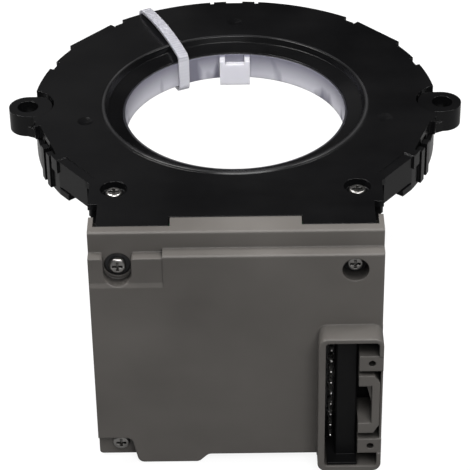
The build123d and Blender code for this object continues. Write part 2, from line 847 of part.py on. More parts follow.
# Components on the front of the main board
board_face = Plane.XZ.offset(-main_board_front)
with BuildPart() as microcontroller:
    with BuildSketch(board_face) as mcu_plan:
        with Locations(mcu_spot):
            Rectangle(mcu_side, mcu_side)
    extrude(amount=mcu_t)
    chamfer(microcontroller.faces().sort_by(Axis.Y)[0].edges(), lead_t / 2)
    with BuildSketch(board_face) as mcu_leads:
        with Locations(mcu_spot):
            with GridLocations(mcu_pitch, mcu_side + lead_len, mcu_leads_a_side, 2):
                Rectangle(lead_w, lead_len + lead_t)
            with GridLocations(mcu_side + lead_len, mcu_pitch, 2, mcu_leads_a_side):
                Rectangle(lead_len + lead_t, lead_w)
    extrude(amount=lead_t)
save(microcontroller.part, "microcontroller")

with BuildPart() as bus_transceiver:
    with BuildSketch(board_face) as bus_plan:
        with Locations(bus_spot):
            Rectangle(chip_len, chip_side)
    extrude(amount=2 * chip_t)
    chamfer(bus_transceiver.faces().sort_by(Axis.Y)[0].edges(), lead_t / 2)
    with BuildSketch(board_face) as bus_leads:
        with Locations(bus_spot):
            with GridLocations(so_pitch, chip_side + lead_len, chip_leads, 2):
                Rectangle(lead_w, lead_len + lead_t)
    extrude(amount=lead_t)
save(bus_transceiver.part, "bus_transceiver")

with BuildPart() as voltage_regulator:
    with BuildSketch(board_face) as regulator_plan:
        with Locations(regulator_spot):
            Rectangle(regulator_side, regulator_side)
    extrude(amount=regulator_t)
    chamfer(voltage_regulator.faces().sort_by(Axis.Y)[0].edges(), lead_t)
    with BuildSketch(board_face) as regulator_leads:
        with Locations(regulator_spot):
            with Locations((0, regulator_side / 2)):
                Rectangle(regulator_tab_w, 2 * lead_len)
            with Locations((0, -regulator_side / 2)):
                with GridLocations(regulator_pitch, 1, 2, 1):
                    Rectangle(regulator_lead_w, regulator_lead_len)
    extrude(amount=lead_t)
save(voltage_regulator.part, "voltage_regulator")

with BuildPart() as crystal:
    with BuildSketch(board_face) as crystal_plan:
        with Locations(crystal_spot):
            SlotOverall(crystal_len, crystal_w)
    extrude(amount=crystal_t)
    fillet(crystal.faces().sort_by(Axis.Y)[0].edges(), crystal_edge_r)
    with BuildSketch(board_face) as crystal_rim:
        with Locations(crystal_spot):
            SlotOverall(crystal_len + lead_len, crystal_w + lead_len)
    extrude(amount=lead_t)
save(crystal.part, "crystal")

with BuildPart() as tantalum_capacitors:
    with BuildSketch(board_face) as tantalum_plan:
        with Locations(*tantalum_spots):
            Rectangle(tantalum_len, tantalum_w)
    extrude(amount=tantalum_t)
    chamfer(tantalum_capacitors.faces().group_by(Axis.Y)[0].edges(), lead_t / 2)
save(tantalum_capacitors.part, "tantalum_capacitors")

with BuildPart() as chip_capacitors:
    with BuildSketch(board_face) as capacitor_plan:
        with Locations(capacitor_centre):
            with GridLocations(capacitor_pitch, capacitor_pitch, capacitor_rows, capacitor_rows):
                Rectangle(smd_len, smd_w)
    extrude(amount=capacitor_t)
save(chip_capacitors.part, "chip_capacitors")

with BuildPart() as chip_resistors:
    with BuildSketch(board_face) as resistor_plan:
        with Locations(resistor_centre):
            with GridLocations(resistor_pitch, resistor_pitch, resistor_columns, resistor_rows):
                Rectangle(smd_w, smd_len)
    extrude(amount=resistor_t)
save(chip_resistors.part, "chip_resistors")

# Electronics cover: front shell of the box with the connector shroud
mouth_x = (mouth_left + mouth_right) / 2
mouth_z = (mouth_top + mouth_bottom) / 2
shroud_x = (shroud_left + shroud_right) / 2
shroud_z = (shroud_top + shroud_bottom) / 2
cover_joint_y = joint_y - joint_gap
cover_joint = Plane.XZ.offset(-cover_joint_y)
inner_half = box_half - box_wall
with BuildPart() as electronics_cover:
    # Front face with its lower tab, and the corner kept free for the lower screw
    with BuildSketch(cover_joint) as face_plan:
        with BuildLine():
            Polyline(
                (-box_half, step_z),
                (box_half, step_z),
                (box_half, shroud_bottom),
                (shroud_left, shroud_bottom),
                (shroud_left, box_floor_z),
                (tab_right_x, box_floor_z),
                (tab_right_x - (box_floor_z - tab_floor_z), tab_floor_z),
                (tab_left_x, tab_floor_z),
                (notch_right_x, notch_top_z),
                (-box_half, notch_top_z),
                close=True,
            )
        make_face()
        fillet(face_plan.vertices().sort_by(Axis.X)[2:6], tab_corner_r)
    extrude(amount=cover_joint_y - box_face_y)
    fillet(electronics_cover.faces().sort_by(Axis.Y)[0].edges(), box_edge_r)
    # Sunk corner behind the lower screw, and the set-back band under the lip
    with BuildSketch(cover_joint) as corner_plan:
        with Locations(((tab_left_x - box_half) / 2, (notch_top_z + notch_floor_z) / 2)):
            Rectangle(tab_left_x + box_half, notch_top_z - notch_floor_z)
        fillet(corner_plan.vertices().sort_by(SortBy.DISTANCE)[-1], tab_corner_r / 2)
    extrude(amount=cover_joint_y - band_y)
    with BuildSketch(cover_joint) as band_plan:
        with Locations((0, (ring_top + step_z) / 2)):
            Rectangle(2 * box_half, ring_top - step_z)
    extrude(amount=cover_joint_y - band_y)
    fillet(electronics_cover.edges().group_by(Axis.Z)[-1].filter_by(Axis.X).sort_by(Axis.Y)[0], box_edge_r)
    # Hollow of the box, shallower behind the band and behind the sunk corner
    with BuildSketch(cover_joint) as deep_room:
        with BuildLine():
            Polyline(
                (-inner_half, step_z - box_wall),
                (inner_half, step_z - box_wall),
                (inner_half, box_floor_z + box_wall),
                (notch_right_x + box_wall, box_floor_z + box_wall),
                (notch_right_x + box_wall, notch_top_z + box_wall),
                (-inner_half, notch_top_z + box_wall),
                close=True,
            )
        make_face()
    extrude(amount=cover_joint_y - box_face_y - box_wall, mode=Mode.SUBTRACT)
    with BuildSketch(cover_joint) as shallow_room:
        with Locations((0, (ring_top - box_wall + box_floor_z + box_wall) / 2)):
            Rectangle(2 * inner_half, ring_top - box_floor_z - 2 * box_wall)
    extrude(amount=cover_joint_y - band_y - box_wall, mode=Mode.SUBTRACT)
    with BuildSketch(Plane.XY.offset(ring_top - box_wall)) as plate_room:
        with Locations((0, (front_edge_y + cover_joint_y) / 2)):
            Rectangle(2 * (box_half - post_t), cover_joint_y - front_edge_y)
    extrude(amount=box_wall, mode=Mode.SUBTRACT)
    # Tab of the lip that lies in the ring cover's front edge
    with BuildSketch(Plane.XY.offset(ring_top)) as tab_plan:
        with Locations((0, (front_edge_y + lip_tab_back_y) / 2)):
            Rectangle(2 * lip_tab_half, lip_tab_back_y - front_edge_y)
    extrude(amount=-box_wall + tab_clear)
    # Walls of the wells of the two upper screws
    upper_spots = ((-upper_screw_x, upper_screw_z), (upper_screw_x, upper_screw_z))
    with BuildSketch(Plane.XZ.offset(-box_face_y - box_wall)) as well_walls:
        with Locations(*upper_spots):
            Circle(well_r + well_wall)
    extrude(amount=box_face_y + box_wall - boss_front_y, mode=Mode.ADD)
    with BuildSketch(Plane.XZ.offset(-band_y)) as over_step:
        with Locations((0, (ring_top + step_z) / 2)):
            Rectangle(2 * box_half, ring_top - step_z)
    extrude(amount=band_y - box_face_y, mode=Mode.SUBTRACT)
    # Lowered patch in the upper left corner
    with BuildSketch(Plane.YZ.offset(patch_right_x)) as patch_section:
        with BuildLine():
            Polyline(
                (box_face_y - patch_depth, patch_bottom_z - patch_slope),
                (box_face_y, patch_bottom_z),
                (box_face_y + patch_depth, patch_bottom_z + patch_slope),
                (box_face_y + patch_depth, patch_top_z),
                (band_y, patch_top_z),
                (band_y, step_z),
                (box_face_y - patch_depth, step_z),
                close=True,
            )
        make_face()
    extrude(amount=-box_half - patch_right_x, mode=Mode.SUBTRACT)
    # Seat of the lower screw, and the notch and bores of the wells
    with BuildSketch(cover_joint) as lower_seat:
        with Locations((lower_screw_x, lower_screw_z)):
            Circle(boss_r)
    extrude(amount=cover_joint_y - band_y)
    with BuildSketch(Plane.XZ.offset(-band_y)) as left_well:
        with Locations((-upper_screw_x, well_z)):
            Circle(well_r)
        with Locations((-upper_screw_x, (well_z + step_z) / 2)):
            Rectangle(2 * well_r, step_z - well_z)
    extrude(amount=band_y - box_face_y, mode=Mode.SUBTRACT)
    patch_edges = electronics_cover.edges().filter_by(Axis.Y).filter_by_position(
        Axis.Z, patch_top_z - parting_gap, patch_top_z + parting_gap
    )
    well_corners = patch_edges.filter_by_position(
        Axis.X, -upper_screw_x - well_reach, -upper_screw_x + well_reach
    )
    fillet(well_corners, well_flare)
    with BuildSketch(Plane.XZ.offset(-front_well_y)) as well_bores:
        with Locations(*upper_spots):
            Circle(well_bore_r)
    extrude(amount=front_well_y - box_face_y, mode=Mode.SUBTRACT)
    with BuildSketch(cover_joint) as screw_holes:
        with Locations(*upper_spots, (lower_screw_x, lower_screw_z)):
            Circle(pass_r)
    extrude(amount=cover_joint_y - box_face_y, mode=Mode.SUBTRACT)
    # Connector shroud, standing out in front and running back to the header
    with BuildSketch(Plane.XZ.offset(-box_face_y - box_wall)) as shroud_plan:
        with Locations((shroud_x, shroud_z)):
            RectangleRounded(shroud_right - shroud_left, shroud_top - shroud_bottom, shroud_r)
    extrude(amount=box_face_y + box_wall - shroud_rim_y)
    fillet(electronics_cover.faces().sort_by(Axis.Y)[0].edges(), box_edge_r / 2)
    with BuildSketch(Plane.XZ.offset(-shroud_back_y)) as sleeve_plan:
        with Locations((mouth_x, mouth_z)):
            Rectangle(
                mouth_right - mouth_left + 2 * sleeve_wall,
                mouth_top - mouth_bottom + 2 * sleeve_wall,
            )
    extrude(amount=shroud_back_y - box_face_y)
    with BuildSketch(board_face) as mouth_plan:
        with Locations((mouth_x, mouth_z)):
            RectangleRounded(mouth_right - mouth_left, mouth_top - mouth_bottom, mouth_r)
    extrude(amount=main_board_front - shroud_rim_y, mode=Mode.SUBTRACT)
    # Latch side of the mouth: back wall, two pads with holes, a bridge and a ramp
    latch_z = (upper_pad[0] + lower_pad[1]) / 2
    latch_x = (latch_left + mouth_right + parting_gap) / 2
    latch_w = mouth_right + parting_gap - latch_left
    with BuildSketch(Plane.XZ.offset(-latch_back_y - latch_wall)) as latch_wall_plan:
        with Locations((latch_x, latch_z)):
            Rectangle(latch_w, upper_pad[0] - lower_pad[1])
    extrude(amount=latch_wall)
    with BuildSketch(Plane.XZ.offset(-header_floor_y)) as latch_window:
        with Locations(((latch_left + mouth_right) / 2, (bridge_top + bridge_bottom) / 2)):
            Rectangle(mouth_right - latch_left, bridge_top - bridge_bottom - 2 * bridge_bar)
    extrude(amount=header_floor_y - latch_back_y, mode=Mode.SUBTRACT)
    side_z = (upper_pad[1] + lower_pad[0]) / 2
    with BuildSketch(Plane.XZ.offset(-latch_back_y)) as side_window:
        with Locations(((bridge_bar_x + side_strip_x) / 2, side_z)):
            Rectangle(side_strip_x - bridge_bar_x, upper_pad[1] - lower_pad[0])
    extrude(amount=latch_back_y - shroud_rim_y, mode=Mode.SUBTRACT)
    with BuildSketch(Plane.XZ.offset(-shroud_rim_y - side_strip_drop)) as strip_front:
        with Locations((shroud_right, side_z)):
            Rectangle(2 * (shroud_right - bridge_bar_x), upper_pad[1] - lower_pad[0])
    extrude(amount=side_strip_drop, mode=Mode.SUBTRACT)
    for top, bottom in (upper_pad, lower_pad):
        with BuildSketch(Plane.XZ.offset(-latch_back_y)) as pad_plan:
            with Locations((latch_x, (top + bottom) / 2)):
                Rectangle(latch_w, top - bottom)
        extrude(amount=latch_back_y - pad_y)
        with BuildSketch(Plane.XZ.offset(-pad_y)) as pad_side:
            with Locations((shroud_right, (top + bottom) / 2)):
                Rectangle(2 * (shroud_right - latch_left), top - bottom)
        extrude(amount=pad_y - shroud_rim_y, mode=Mode.SUBTRACT)
        with BuildSketch(Plane.XZ.offset(-pad_y)) as pad_hole:
            with Locations((pad_hole_x, (top + bottom) / 2)):
                Circle(pad_hole_r)
        extrude(amount=-4 * pad_hole_r, mode=Mode.SUBTRACT)
    with BuildSketch(Plane.XZ.offset(-latch_back_y)) as bar_plan:
        for edge in (bridge_top - bridge_bar / 2, bridge_bottom + bridge_bar / 2):
            with Locations(((latch_left + bridge_bar_x) / 2, edge)):
                Rectangle(bridge_bar_x - latch_left, bridge_bar)
    extrude(amount=latch_back_y - shroud_rim_y)
    with BuildSketch(Plane.XZ.offset(-shroud_rim_y - bridge_depth)) as bridge_plan:
        with BuildLine():
            Polyline(
                (bridge_bar_x, bridge_top),
                (bridge_right - bridge_end_w, bridge_top),
                (bridge_right, bridge_top - bridge_end_len),
                (bridge_right, bridge_bottom + bridge_end_len),
                (bridge_right - bridge_end_w, bridge_bottom),
                (bridge_bar_x, bridge_bottom),
                close=True,
            )
        make_face()
    extrude(amount=bridge_depth)
    with BuildSketch(Plane.XZ.offset(-latch_back_y)) as ramp_plan:
        with BuildLine():
            Polyline(
                (bridge_bar_x + parting_gap, ramp_top),
                (ramp_left, ramp_top),
                (bridge_bar_x + parting_gap, ramp_bottom),
                close=True,
            )
        make_face()
    extrude(amount=latch_back_y - shroud_rim_y - bridge_depth / 2)
save(electronics_cover.part, "electronics_cover")

# Connector header: floor of the mouth with a long tongue beside the pins
with BuildPart() as connector_header:
    with BuildSketch(board_face) as header_plan:
        with Locations((mouth_x, mouth_z)):
            RectangleRounded(
                mouth_right - mouth_left - 2 * header_fit,
                mouth_top - mouth_bottom - 2 * header_fit,
                mouth_r,
            )
    extrude(amount=main_board_front - header_floor_y)
    with BuildSketch(Plane.XZ.offset(-header_floor_y)) as tongue_plan:
        with Locations(((tongue_left + tongue_right) / 2, mouth_z)):
            Rectangle(tongue_right - tongue_left, mouth_top - mouth_bottom - 2 * header_fit - tongue_end)
    extrude(amount=header_floor_y - tongue_y)
    chamfer(connector_header.faces().sort_by(Axis.Y)[0].edges(), tongue_end / 2)
    sill_left = mouth_left + mouth_r
    sill_right = latch_left - header_fit
    with BuildSketch(Plane.XZ.offset(-header_floor_y)) as sill_plan:
        with Locations(((sill_left + sill_right) / 2, mouth_bottom + header_fit + sill_t / 2)):
            Rectangle(sill_right - sill_left, sill_t)
    extrude(amount=header_floor_y - sill_y)
    with BuildSketch(board_face) as pin_slots:
        with Locations((pin_x, (pin_top_z + pin_bottom_z) / 2)):
            with GridLocations(1, pin_pitch, 1, pin_count):
                Rectangle(pin_side + 2 * pin_fit, pin_side + 2 * pin_fit)
    extrude(amount=main_board_front - header_floor_y, mode=Mode.SUBTRACT)
save(connector_header.part, "connector_header")

# Connector pins, soldered through the main board
with BuildPart() as connector_pins:
    pin_neck_y = pin_tip_y + pin_tip_len
    with BuildSketch(Plane.XZ.offset(-main_board_y - pin_tail)) as pin_plan:
        with Locations((pin_x, (pin_top_z + pin_bottom_z) / 2)):
            with GridLocations(1, pin_pitch, 1, pin_count):
                Rectangle(pin_side, pin_side)
    extrude(amount=main_board_y + pin_tail - pin_neck_y)
    tip_slope = degrees((pin_side - pin_tip_side) / 2 / pin_tip_len)
    with BuildSketch(Plane.XZ.offset(-pin_neck_y)) as tip_plan:
        with Locations((pin_x, (pin_top_z + pin_bottom_z) / 2)):
            with GridLocations(1, pin_pitch, 1, pin_count):
                Rectangle(pin_side, pin_side)
    extrude(amount=pin_tip_len, taper=tip_slope)
save(connector_pins.part, "connector_pins")

# Screws
with BuildPart() as ring_screws:
    with Locations(
        (ring_screw_x, ring_screw_y, counterbore_z),
        (-ring_screw_x, ring_screw_y, counterbore_z),
    ):
        add(pan_head_screw(head_r, head_h, shank_r, ring_screw_len))
save(ring_screws.part, "ring_screws")

with BuildPart() as cover_screws:
    with Locations(
        Location((upper_screw_x, front_well_y - washer_t, upper_screw_z), from_front),
        Location((-upper_screw_x, front_well_y - washer_t, upper_screw_z), from_front),
        Location((lower_screw_x, band_y, lower_screw_z), from_front),
    ):
        add(pan_head_screw(head_r, head_h, shank_r, cover_screw_len))
save(cover_screws.part, "cover_screws")

# Washers under the two screws in the wells
with BuildPart() as cover_washers:
    with BuildSketch(Plane.XZ.offset(-front_well_y)) as washer_plan:
        with Locations(*upper_spots):
            Circle(washer_r)
            Circle(pass_r, mode=Mode.SUBTRACT)
    extrude(amount=washer_t)
save(cover_washers.part, "cover_washers")

with BuildPart() as board_screws:
    board_screw = pan_head_screw(board_head_r, board_head_h, board_shank_r, board_screw_len)
    with Locations(*[Location((x, y, board_top)) for x, y in post_spots]):
        add(board_screw)
    with Locations(*[Location((x, main_board_front, z), from_front) for x, z in board_boss_spots]):
        add(board_screw)
save(board_screws.part, "board_screws")

# Cable tie: a closed strap with its head under the ring
tie_along = (cos(radians(tie_turn)), sin(radians(tie_turn)), 0)
tie_across = (sin(radians(tie_turn)), -cos(radians(tie_turn)), 0)
tie_foot = (tie_bore_r * cos(radians(tie_bore_turn)), tie_bore_r * sin(radians(tie_bore_turn)), 0)
tie_plane = Plane(tie_foot, x_dir=tie_along, z_dir=tie_across)
tie_skew = radians(tie_bore_turn - tie_turn)
tie_reach = sqrt(far_rim_r**2 - (tie_bore_r * sin(tie_skew)) ** 2)
tie_outer = tie_reach - tie_bore_r * cos(tie_skew) + tie_gap + tie_slack
tie_under = ring_bottom
tie_over = ring_top + bead_h + tie_gap


def strap_run():
    """Inner face of the strap in the plane of the tie, a closed run with rounded bends."""
    with BuildSketch() as run:
        with BuildLine():
            ThreePointArc(
                (tie_outer, tie_over),
                ((tie_outer + tie_bead_s) / 2, tie_over + tie_crown),
                (tie_bead_s, tie_over),
            )
            Polyline(
                (tie_bead_s, tie_over),
                (tie_inner, tie_knee_z),
                (tie_inner, tie_under),
                (tie_outer, tie_under),
                (tie_outer, tie_over),
            )
        make_face()
        fillet(run.vertices(), tie_bend_r)
    return run.sketch


with BuildPart() as cable_tie:
    with BuildSketch(tie_plane) as strap_outside:
        add(strap_run())
        offset(amount=tie_t, mode=Mode.REPLACE)
    extrude(amount=tie_w / 2, both=True)
    with BuildSketch(tie_plane) as strap_inside:
        add(strap_run())
    extrude(amount=tie_w, both=True, mode=Mode.SUBTRACT)
    # Head with the trimmed end of the strap
    with BuildSketch(tie_plane) as tie_head:
        with Locations((tie_outer - tie_head_from_rim, tie_under - tie_head_h / 2)):
            Rectangle(tie_head_len, tie_head_h)
    extrude(amount=tie_head_w / 2, both=True)
    fillet(cable_tie.faces().sort_by(Axis.Z)[0].edges(), tie_head_r)
    with BuildSketch(tie_plane) as tie_end:
        with Locations((tie_outer - tie_head_from_rim, tie_under - tie_head_h - tie_tail / 2)):
            Rectangle(tie_t, tie_tail)
    extrude(amount=tie_w / 2, both=True)
save(cable_tie.part, "cable_tie")
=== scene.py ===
"""Looks of a steering angle sensor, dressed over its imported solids.

Everything is in metres, in the frame of the solids: the steering column runs along Z, the two
mounting ears lie on X, and the electronics box with its connector faces -Y. The shared effects
come first, then the finishes, the sub-assemblies that wear them, and the studio.
"""

from __future__ import annotations

import json
import logging
import math
from abc import ABC, abstractmethod
from dataclasses import dataclass, replace
from enum import Enum

import bmesh
import bpy
from mathutils import Matrix, Vector

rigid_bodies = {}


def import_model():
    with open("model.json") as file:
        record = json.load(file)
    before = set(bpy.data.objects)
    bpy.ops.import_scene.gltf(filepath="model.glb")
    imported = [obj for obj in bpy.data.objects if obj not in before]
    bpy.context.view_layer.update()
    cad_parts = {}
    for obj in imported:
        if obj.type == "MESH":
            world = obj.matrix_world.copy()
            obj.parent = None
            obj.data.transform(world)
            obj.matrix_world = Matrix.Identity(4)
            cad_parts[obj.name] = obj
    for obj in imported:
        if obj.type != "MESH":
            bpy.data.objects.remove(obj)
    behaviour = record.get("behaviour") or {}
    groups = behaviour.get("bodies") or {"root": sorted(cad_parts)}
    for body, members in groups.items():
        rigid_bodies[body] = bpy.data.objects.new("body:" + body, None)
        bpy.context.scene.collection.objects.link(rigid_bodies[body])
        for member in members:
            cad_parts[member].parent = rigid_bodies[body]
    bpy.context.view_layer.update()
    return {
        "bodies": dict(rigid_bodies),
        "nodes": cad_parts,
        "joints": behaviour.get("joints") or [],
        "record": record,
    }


MM = 0.001
LOG = logging.getLogger("steering_angle_sensor")

Node = bpy.types.Node
Socket = bpy.types.NodeSocket
Material = bpy.types.Material
Colour = tuple[float, float, float]
Triple = tuple[float, float, float]
Span = tuple[float, float]

# Sockets of a Mix node that works on colours.
MIX_AMOUNT, MIX_UNDER, MIX_OVER, MIX_COLOUR = 0, 6, 7, 2

# Values between which nearly all of the cloudy mottle of a surface lies.
CLOUDS: Span = (0.3, 0.7)


class ShaderDesk:
    """Lays out and joins the nodes of one shader tree."""

    def __init__(self, tree: bpy.types.NodeTree) -> None:
        """Keep the tree of a material, a group or the world, which the nodes go into."""
        self.tree = tree

    def node(self, kind: str, **settings: object) -> Node:
        """Add one node and set its properties.

        Args:
            kind: Type name of the node.
            settings: Properties of the node by name.

        Returns:
            The new node.
        """
        made = self.tree.nodes.new(kind)
        for name, value in settings.items():
            setattr(made, name, value)
        return made

    def feed(self, socket: Socket, value: object) -> None:
        """Join a socket to another one, or set its own value.

        Args:
            socket: Input that is fed.
            value: An output socket, or a plain value.
        """
        if isinstance(value, Socket):
            self.tree.links.new(value, socket)
        else:
            socket.default_value = value

    def work_out(self, operation: str, first: object, second: object = 0.0) -> Socket:
        """Work out one value from two, or from one where the operation takes one.

        Args:
            operation: Operation of a Math node.
            first: First socket or number.
            second: Second socket or number.

        Returns:
            The output of the Math node.
        """
        made = self.node("ShaderNodeMath", operation=operation)
        self.feed(made.inputs[0], first)
        self.feed(made.inputs[1], second)
        return made.outputs[0]

    def times(self, first: object, second: object) -> Socket:
        """Multiply two values."""
        return self.work_out("MULTIPLY", first, second)

    def plus(self, first: object, second: object) -> Socket:
        """Add two values."""
        return self.work_out("ADD", first, second)

    def larger(self, first: object, second: object) -> Socket:
        """Keep the larger of two values."""
        return self.work_out("MAXIMUM", first, second)

    def spread(
        self, value: Socket, low: object, high: object, to_low: object, to_high: object
    ) -> Socket:
        """Map a value from one range to another and clamp it.

        Args:
            value: Socket that is mapped.
            low: Start of the first range.
            high: End of the first range.
            to_low: Start of the second range.
            to_high: End of the second range.

        Returns:
            The mapped value.
        """
        made = self.node("ShaderNodeMapRange")
        names = ("Value", "From Min", "From Max", "To Min", "To Max")
        for name, entry in zip(names, (value, low, high, to_low, to_high)):
            self.feed(made.inputs[name], entry)
        return made.outputs["Result"]

    def blend(self, amount: object, under: object, over: object) -> Socket:
        """Lay one colour over another.

        Args:
            amount: How much of the upper colour shows.
            under: Lower colour or socket.
            over: Upper colour or socket.

        Returns:
            The blended colour.
        """
        made = self.node("ShaderNodeMix", data_type="RGBA")
        self.feed(made.inputs[MIX_AMOUNT], amount)
        for index, entry in ((MIX_UNDER, under), (MIX_OVER, over)):
            self.feed(made.inputs[index], (*entry, 1.0) if isinstance(entry, tuple) else entry)
        return made.outputs[MIX_COLOUR]

    def noise(self, scale: object, detail: float, where: Socket | None = None) -> Socket:
        """Add cloudy noise.

        Args:
            scale: Noise scale for coordinates in metres.
            detail: Number of octaves.
            where: Coordinates, or nothing for the object's own.

        Returns:
            The noise factor.
        """
        made = self.node("ShaderNodeTexNoise")
        self.feed(made.inputs["Vector"], self.place() if where is None else where)
        self.feed(made.inputs["Scale"], scale)
        made.inputs["Detail"].default_value = detail
        return made.outputs["Fac"]

    def place(self, turn: Triple = (0, 0, 0), size: Triple = (1, 1, 1)) -> Socket:
        """Give the object's coordinates, turned and stretched.

        Args:
            turn: Turn about the three axes in degrees.
            size: Stretch along the three axes.

        Returns:
            The coordinates.
        """
        coordinates = self.node("ShaderNodeTexCoord")
        mapping = self.node("ShaderNodeMapping")
        mapping.inputs["Rotation"].default_value = [math.radians(angle) for angle in turn]
        mapping.inputs["Scale"].default_value = size
        self.feed(mapping.inputs["Vector"], coordinates.outputs["Object"])
        return mapping.outputs["Vector"]

    def split(self, vector: Socket) -> bpy.types.bpy_prop_collection:
        """Give the X, Y and Z of a vector as outputs."""
        made = self.node("ShaderNodeSeparateXYZ")
        self.feed(made.inputs[0], vector)
        return made.outputs

    def from_axis(self) -> Socket:
        """Give the distance of each point from the axis of the steering column."""
        made = self.node("ShaderNodeVectorMath", operation="LENGTH")
        self.feed(made.inputs[0], self.place(size=(1.0, 1.0, 0.0)))
        return made.outputs["Value"]

    def facing_up(self, low: float, high: float) -> Socket:
        """Mask the faces that look up, by the upward part of their normal."""
        surface = self.node("ShaderNodeNewGeometry")
        return self.spread(self.split(surface.outputs["Normal"])["Z"], low, high, 0.0, 1.0)


def preset(node: Node, values: dict[str, object]) -> None:
    """Set plain values on the inputs of a node, by their names."""
    for name, value in values.items():
        node.inputs[name].default_value = value


class SocketKind(Enum):
    """Kinds of socket that a shared effect has."""

    NUMBER = "NodeSocketFloat"
    VECTOR = "NodeSocketVector"


class Effect(Enum):
    """Shared effects, each of them one node group."""

    GRAIN = "moulded_grain"
    SOFT_EDGE = "rubbed_edges"
    DUST = "settled_dust"
    HAIRLINES = "fine_hairlines"
    RECESS = "shaded_recess"


def open_group(
    effect: Effect, inputs: dict[str, float], outputs: dict[str, SocketKind]
) -> tuple[ShaderDesk, Node, Node]:
    """Start the node group of a shared effect.

    Args:
        effect: Effect that the group makes.
        inputs: First values of its number inputs, by name.
        outputs: Kinds of its outputs, by name.

    Returns:
        A desk over the group's tree, its input node and its output node.
    """
    tree = bpy.data.node_groups.new(effect.value, "ShaderNodeTree")
    for name, value in inputs.items():
        socket = tree.interface.new_socket(name, in_out="INPUT", socket_type=SocketKind.NUMBER.value)
        socket.default_value = value
    for name, kind in outputs.items():
        tree.interface.new_socket(name, in_out="OUTPUT", socket_type=kind.value)
    desk = ShaderDesk(tree)
    return desk, desk.node("NodeGroupInput"), desk.node("NodeGroupOutput")


@dataclass(frozen=True)
class MouldedGrain:
    """Fine texture of a mould's surface, with its cloudy changes of gloss.

    Attributes:
        coarse_scale: Scale of the coarser grain, as a share of the fine one's.
        fine_part: Part of the height that the fine grain makes.
        coarse_part: Part of the height that the coarser grain makes.
        streak_turn: Turn of the flow streaks about Z, in degrees.
        streak_stretch: Stretch of the flow streaks along the three axes.
    """

    coarse_scale: float = 0.31
    fine_part: float = 0.6
    coarse_part: float = 0.4
    streak_turn: float = 17.0
    streak_stretch: Triple = (0.25, 1.6, 1.0)

    def build(self) -> None:
        """Build the node group."""
        desk, start, end = open_group(
            Effect.GRAIN,
            inputs={"Fineness": 5000.0, "Cloud": 60.0},
            outputs={"Height": SocketKind.NUMBER, "Mottle": SocketKind.NUMBER},
        )
        fineness, clouds = start.outputs["Fineness"], start.outputs["Cloud"]
        fine = desk.noise(fineness, detail=3.0)
        coarse = desk.noise(desk.times(fineness, self.coarse_scale), detail=2.0)
        height = desk.plus(desk.times(fine, self.fine_part), desk.times(coarse, self.coarse_part))
        desk.feed(end.inputs["Height"], height)
        cloud = desk.noise(clouds, detail=4.0)
        flow = desk.place(turn=(0, 0, self.streak_turn), size=self.streak_stretch)
        streak = desk.noise(clouds, detail=3.0, where=flow)
        desk.feed(end.inputs["Mottle"], desk.times(desk.plus(cloud, streak), 0.5))


@dataclass(frozen=True)
class SoftEdgeHighlight:
    """Softened edges, with a mask for a painted highlight along them, in patches.

    Attributes:
        likeness: Cosines between the softened and the true normal, from no edge to a full one.
        patches: Noise values between which the painted highlight grows from faint to full.
        faint: Share of the painted highlight that is left where it is faint.
        samples: Rays that find the softened normal.
    """

    likeness: Span = (0.995, 0.8)
    patches: Span = (0.35, 0.7)
    faint: float = 0.25
    samples: int = 6

    def build(self) -> None:
        """Build the node group."""
        desk, start, end = open_group(
            Effect.SOFT_EDGE,
            inputs={"Radius": 0.2 * MM, "Patchiness": 300.0},
            outputs={"Edge": SocketKind.NUMBER, "Normal": SocketKind.VECTOR},
        )
        bevel = desk.node("ShaderNodeBevel", samples=self.samples)
        desk.feed(bevel.inputs["Radius"], start.outputs["Radius"])
        surface = desk.node("ShaderNodeNewGeometry")
        cosine = desk.node("ShaderNodeVectorMath", operation="DOT_PRODUCT")
        desk.feed(cosine.inputs[0], bevel.outputs["Normal"])
        desk.feed(cosine.inputs[1], surface.outputs["Normal"])
        edge = desk.spread(cosine.outputs["Value"], *self.likeness, 0.0, 1.0)
        clouds = desk.noise(start.outputs["Patchiness"], detail=4.0)
        patch = desk.spread(clouds, *self.patches, self.faint, 1.0)
        # The edge mask serves as a painted highlight along the softened edges, in patches.
        desk.feed(end.inputs["Edge"], desk.times(edge, patch))
        desk.feed(end.inputs["Normal"], bevel.outputs["Normal"])


@dataclass(frozen=True)
class SettledDust:
    """Mask of the fine dust that settles on faces turned upwards.

    Attributes:
        level: Upward parts of the normal between which the dust grows from none to full.
        specks: Noise values between which a speck grows from nothing to full.
        veil_scale: Noise scale of the thin veil between the specks.
        veil: Noise values between which the veil grows from nothing to its most.
        veil_most: The most that the veil covers.
    """

    level: Span = (0.2, 1.0)
    specks: Span = (0.66, 0.82)
    veil_scale: float = 70.0
    veil: Span = (0.4, 0.75)
    veil_most: float = 0.35

    def build(self) -> None:
        """Build the node group."""
        desk, start, end = open_group(
            Effect.DUST, inputs={"Speck": 1800.0}, outputs={"Dust": SocketKind.NUMBER}
        )
        upward = desk.facing_up(*self.level)
        specks = desk.spread(desk.noise(start.outputs["Speck"], detail=5.0), *self.specks, 0.0, 1.0)
        veil = desk.spread(desk.noise(self.veil_scale, detail=4.0), *self.veil, 0.0, self.veil_most)
        desk.feed(end.inputs["Dust"], desk.times(upward, desk.larger(specks, veil)))


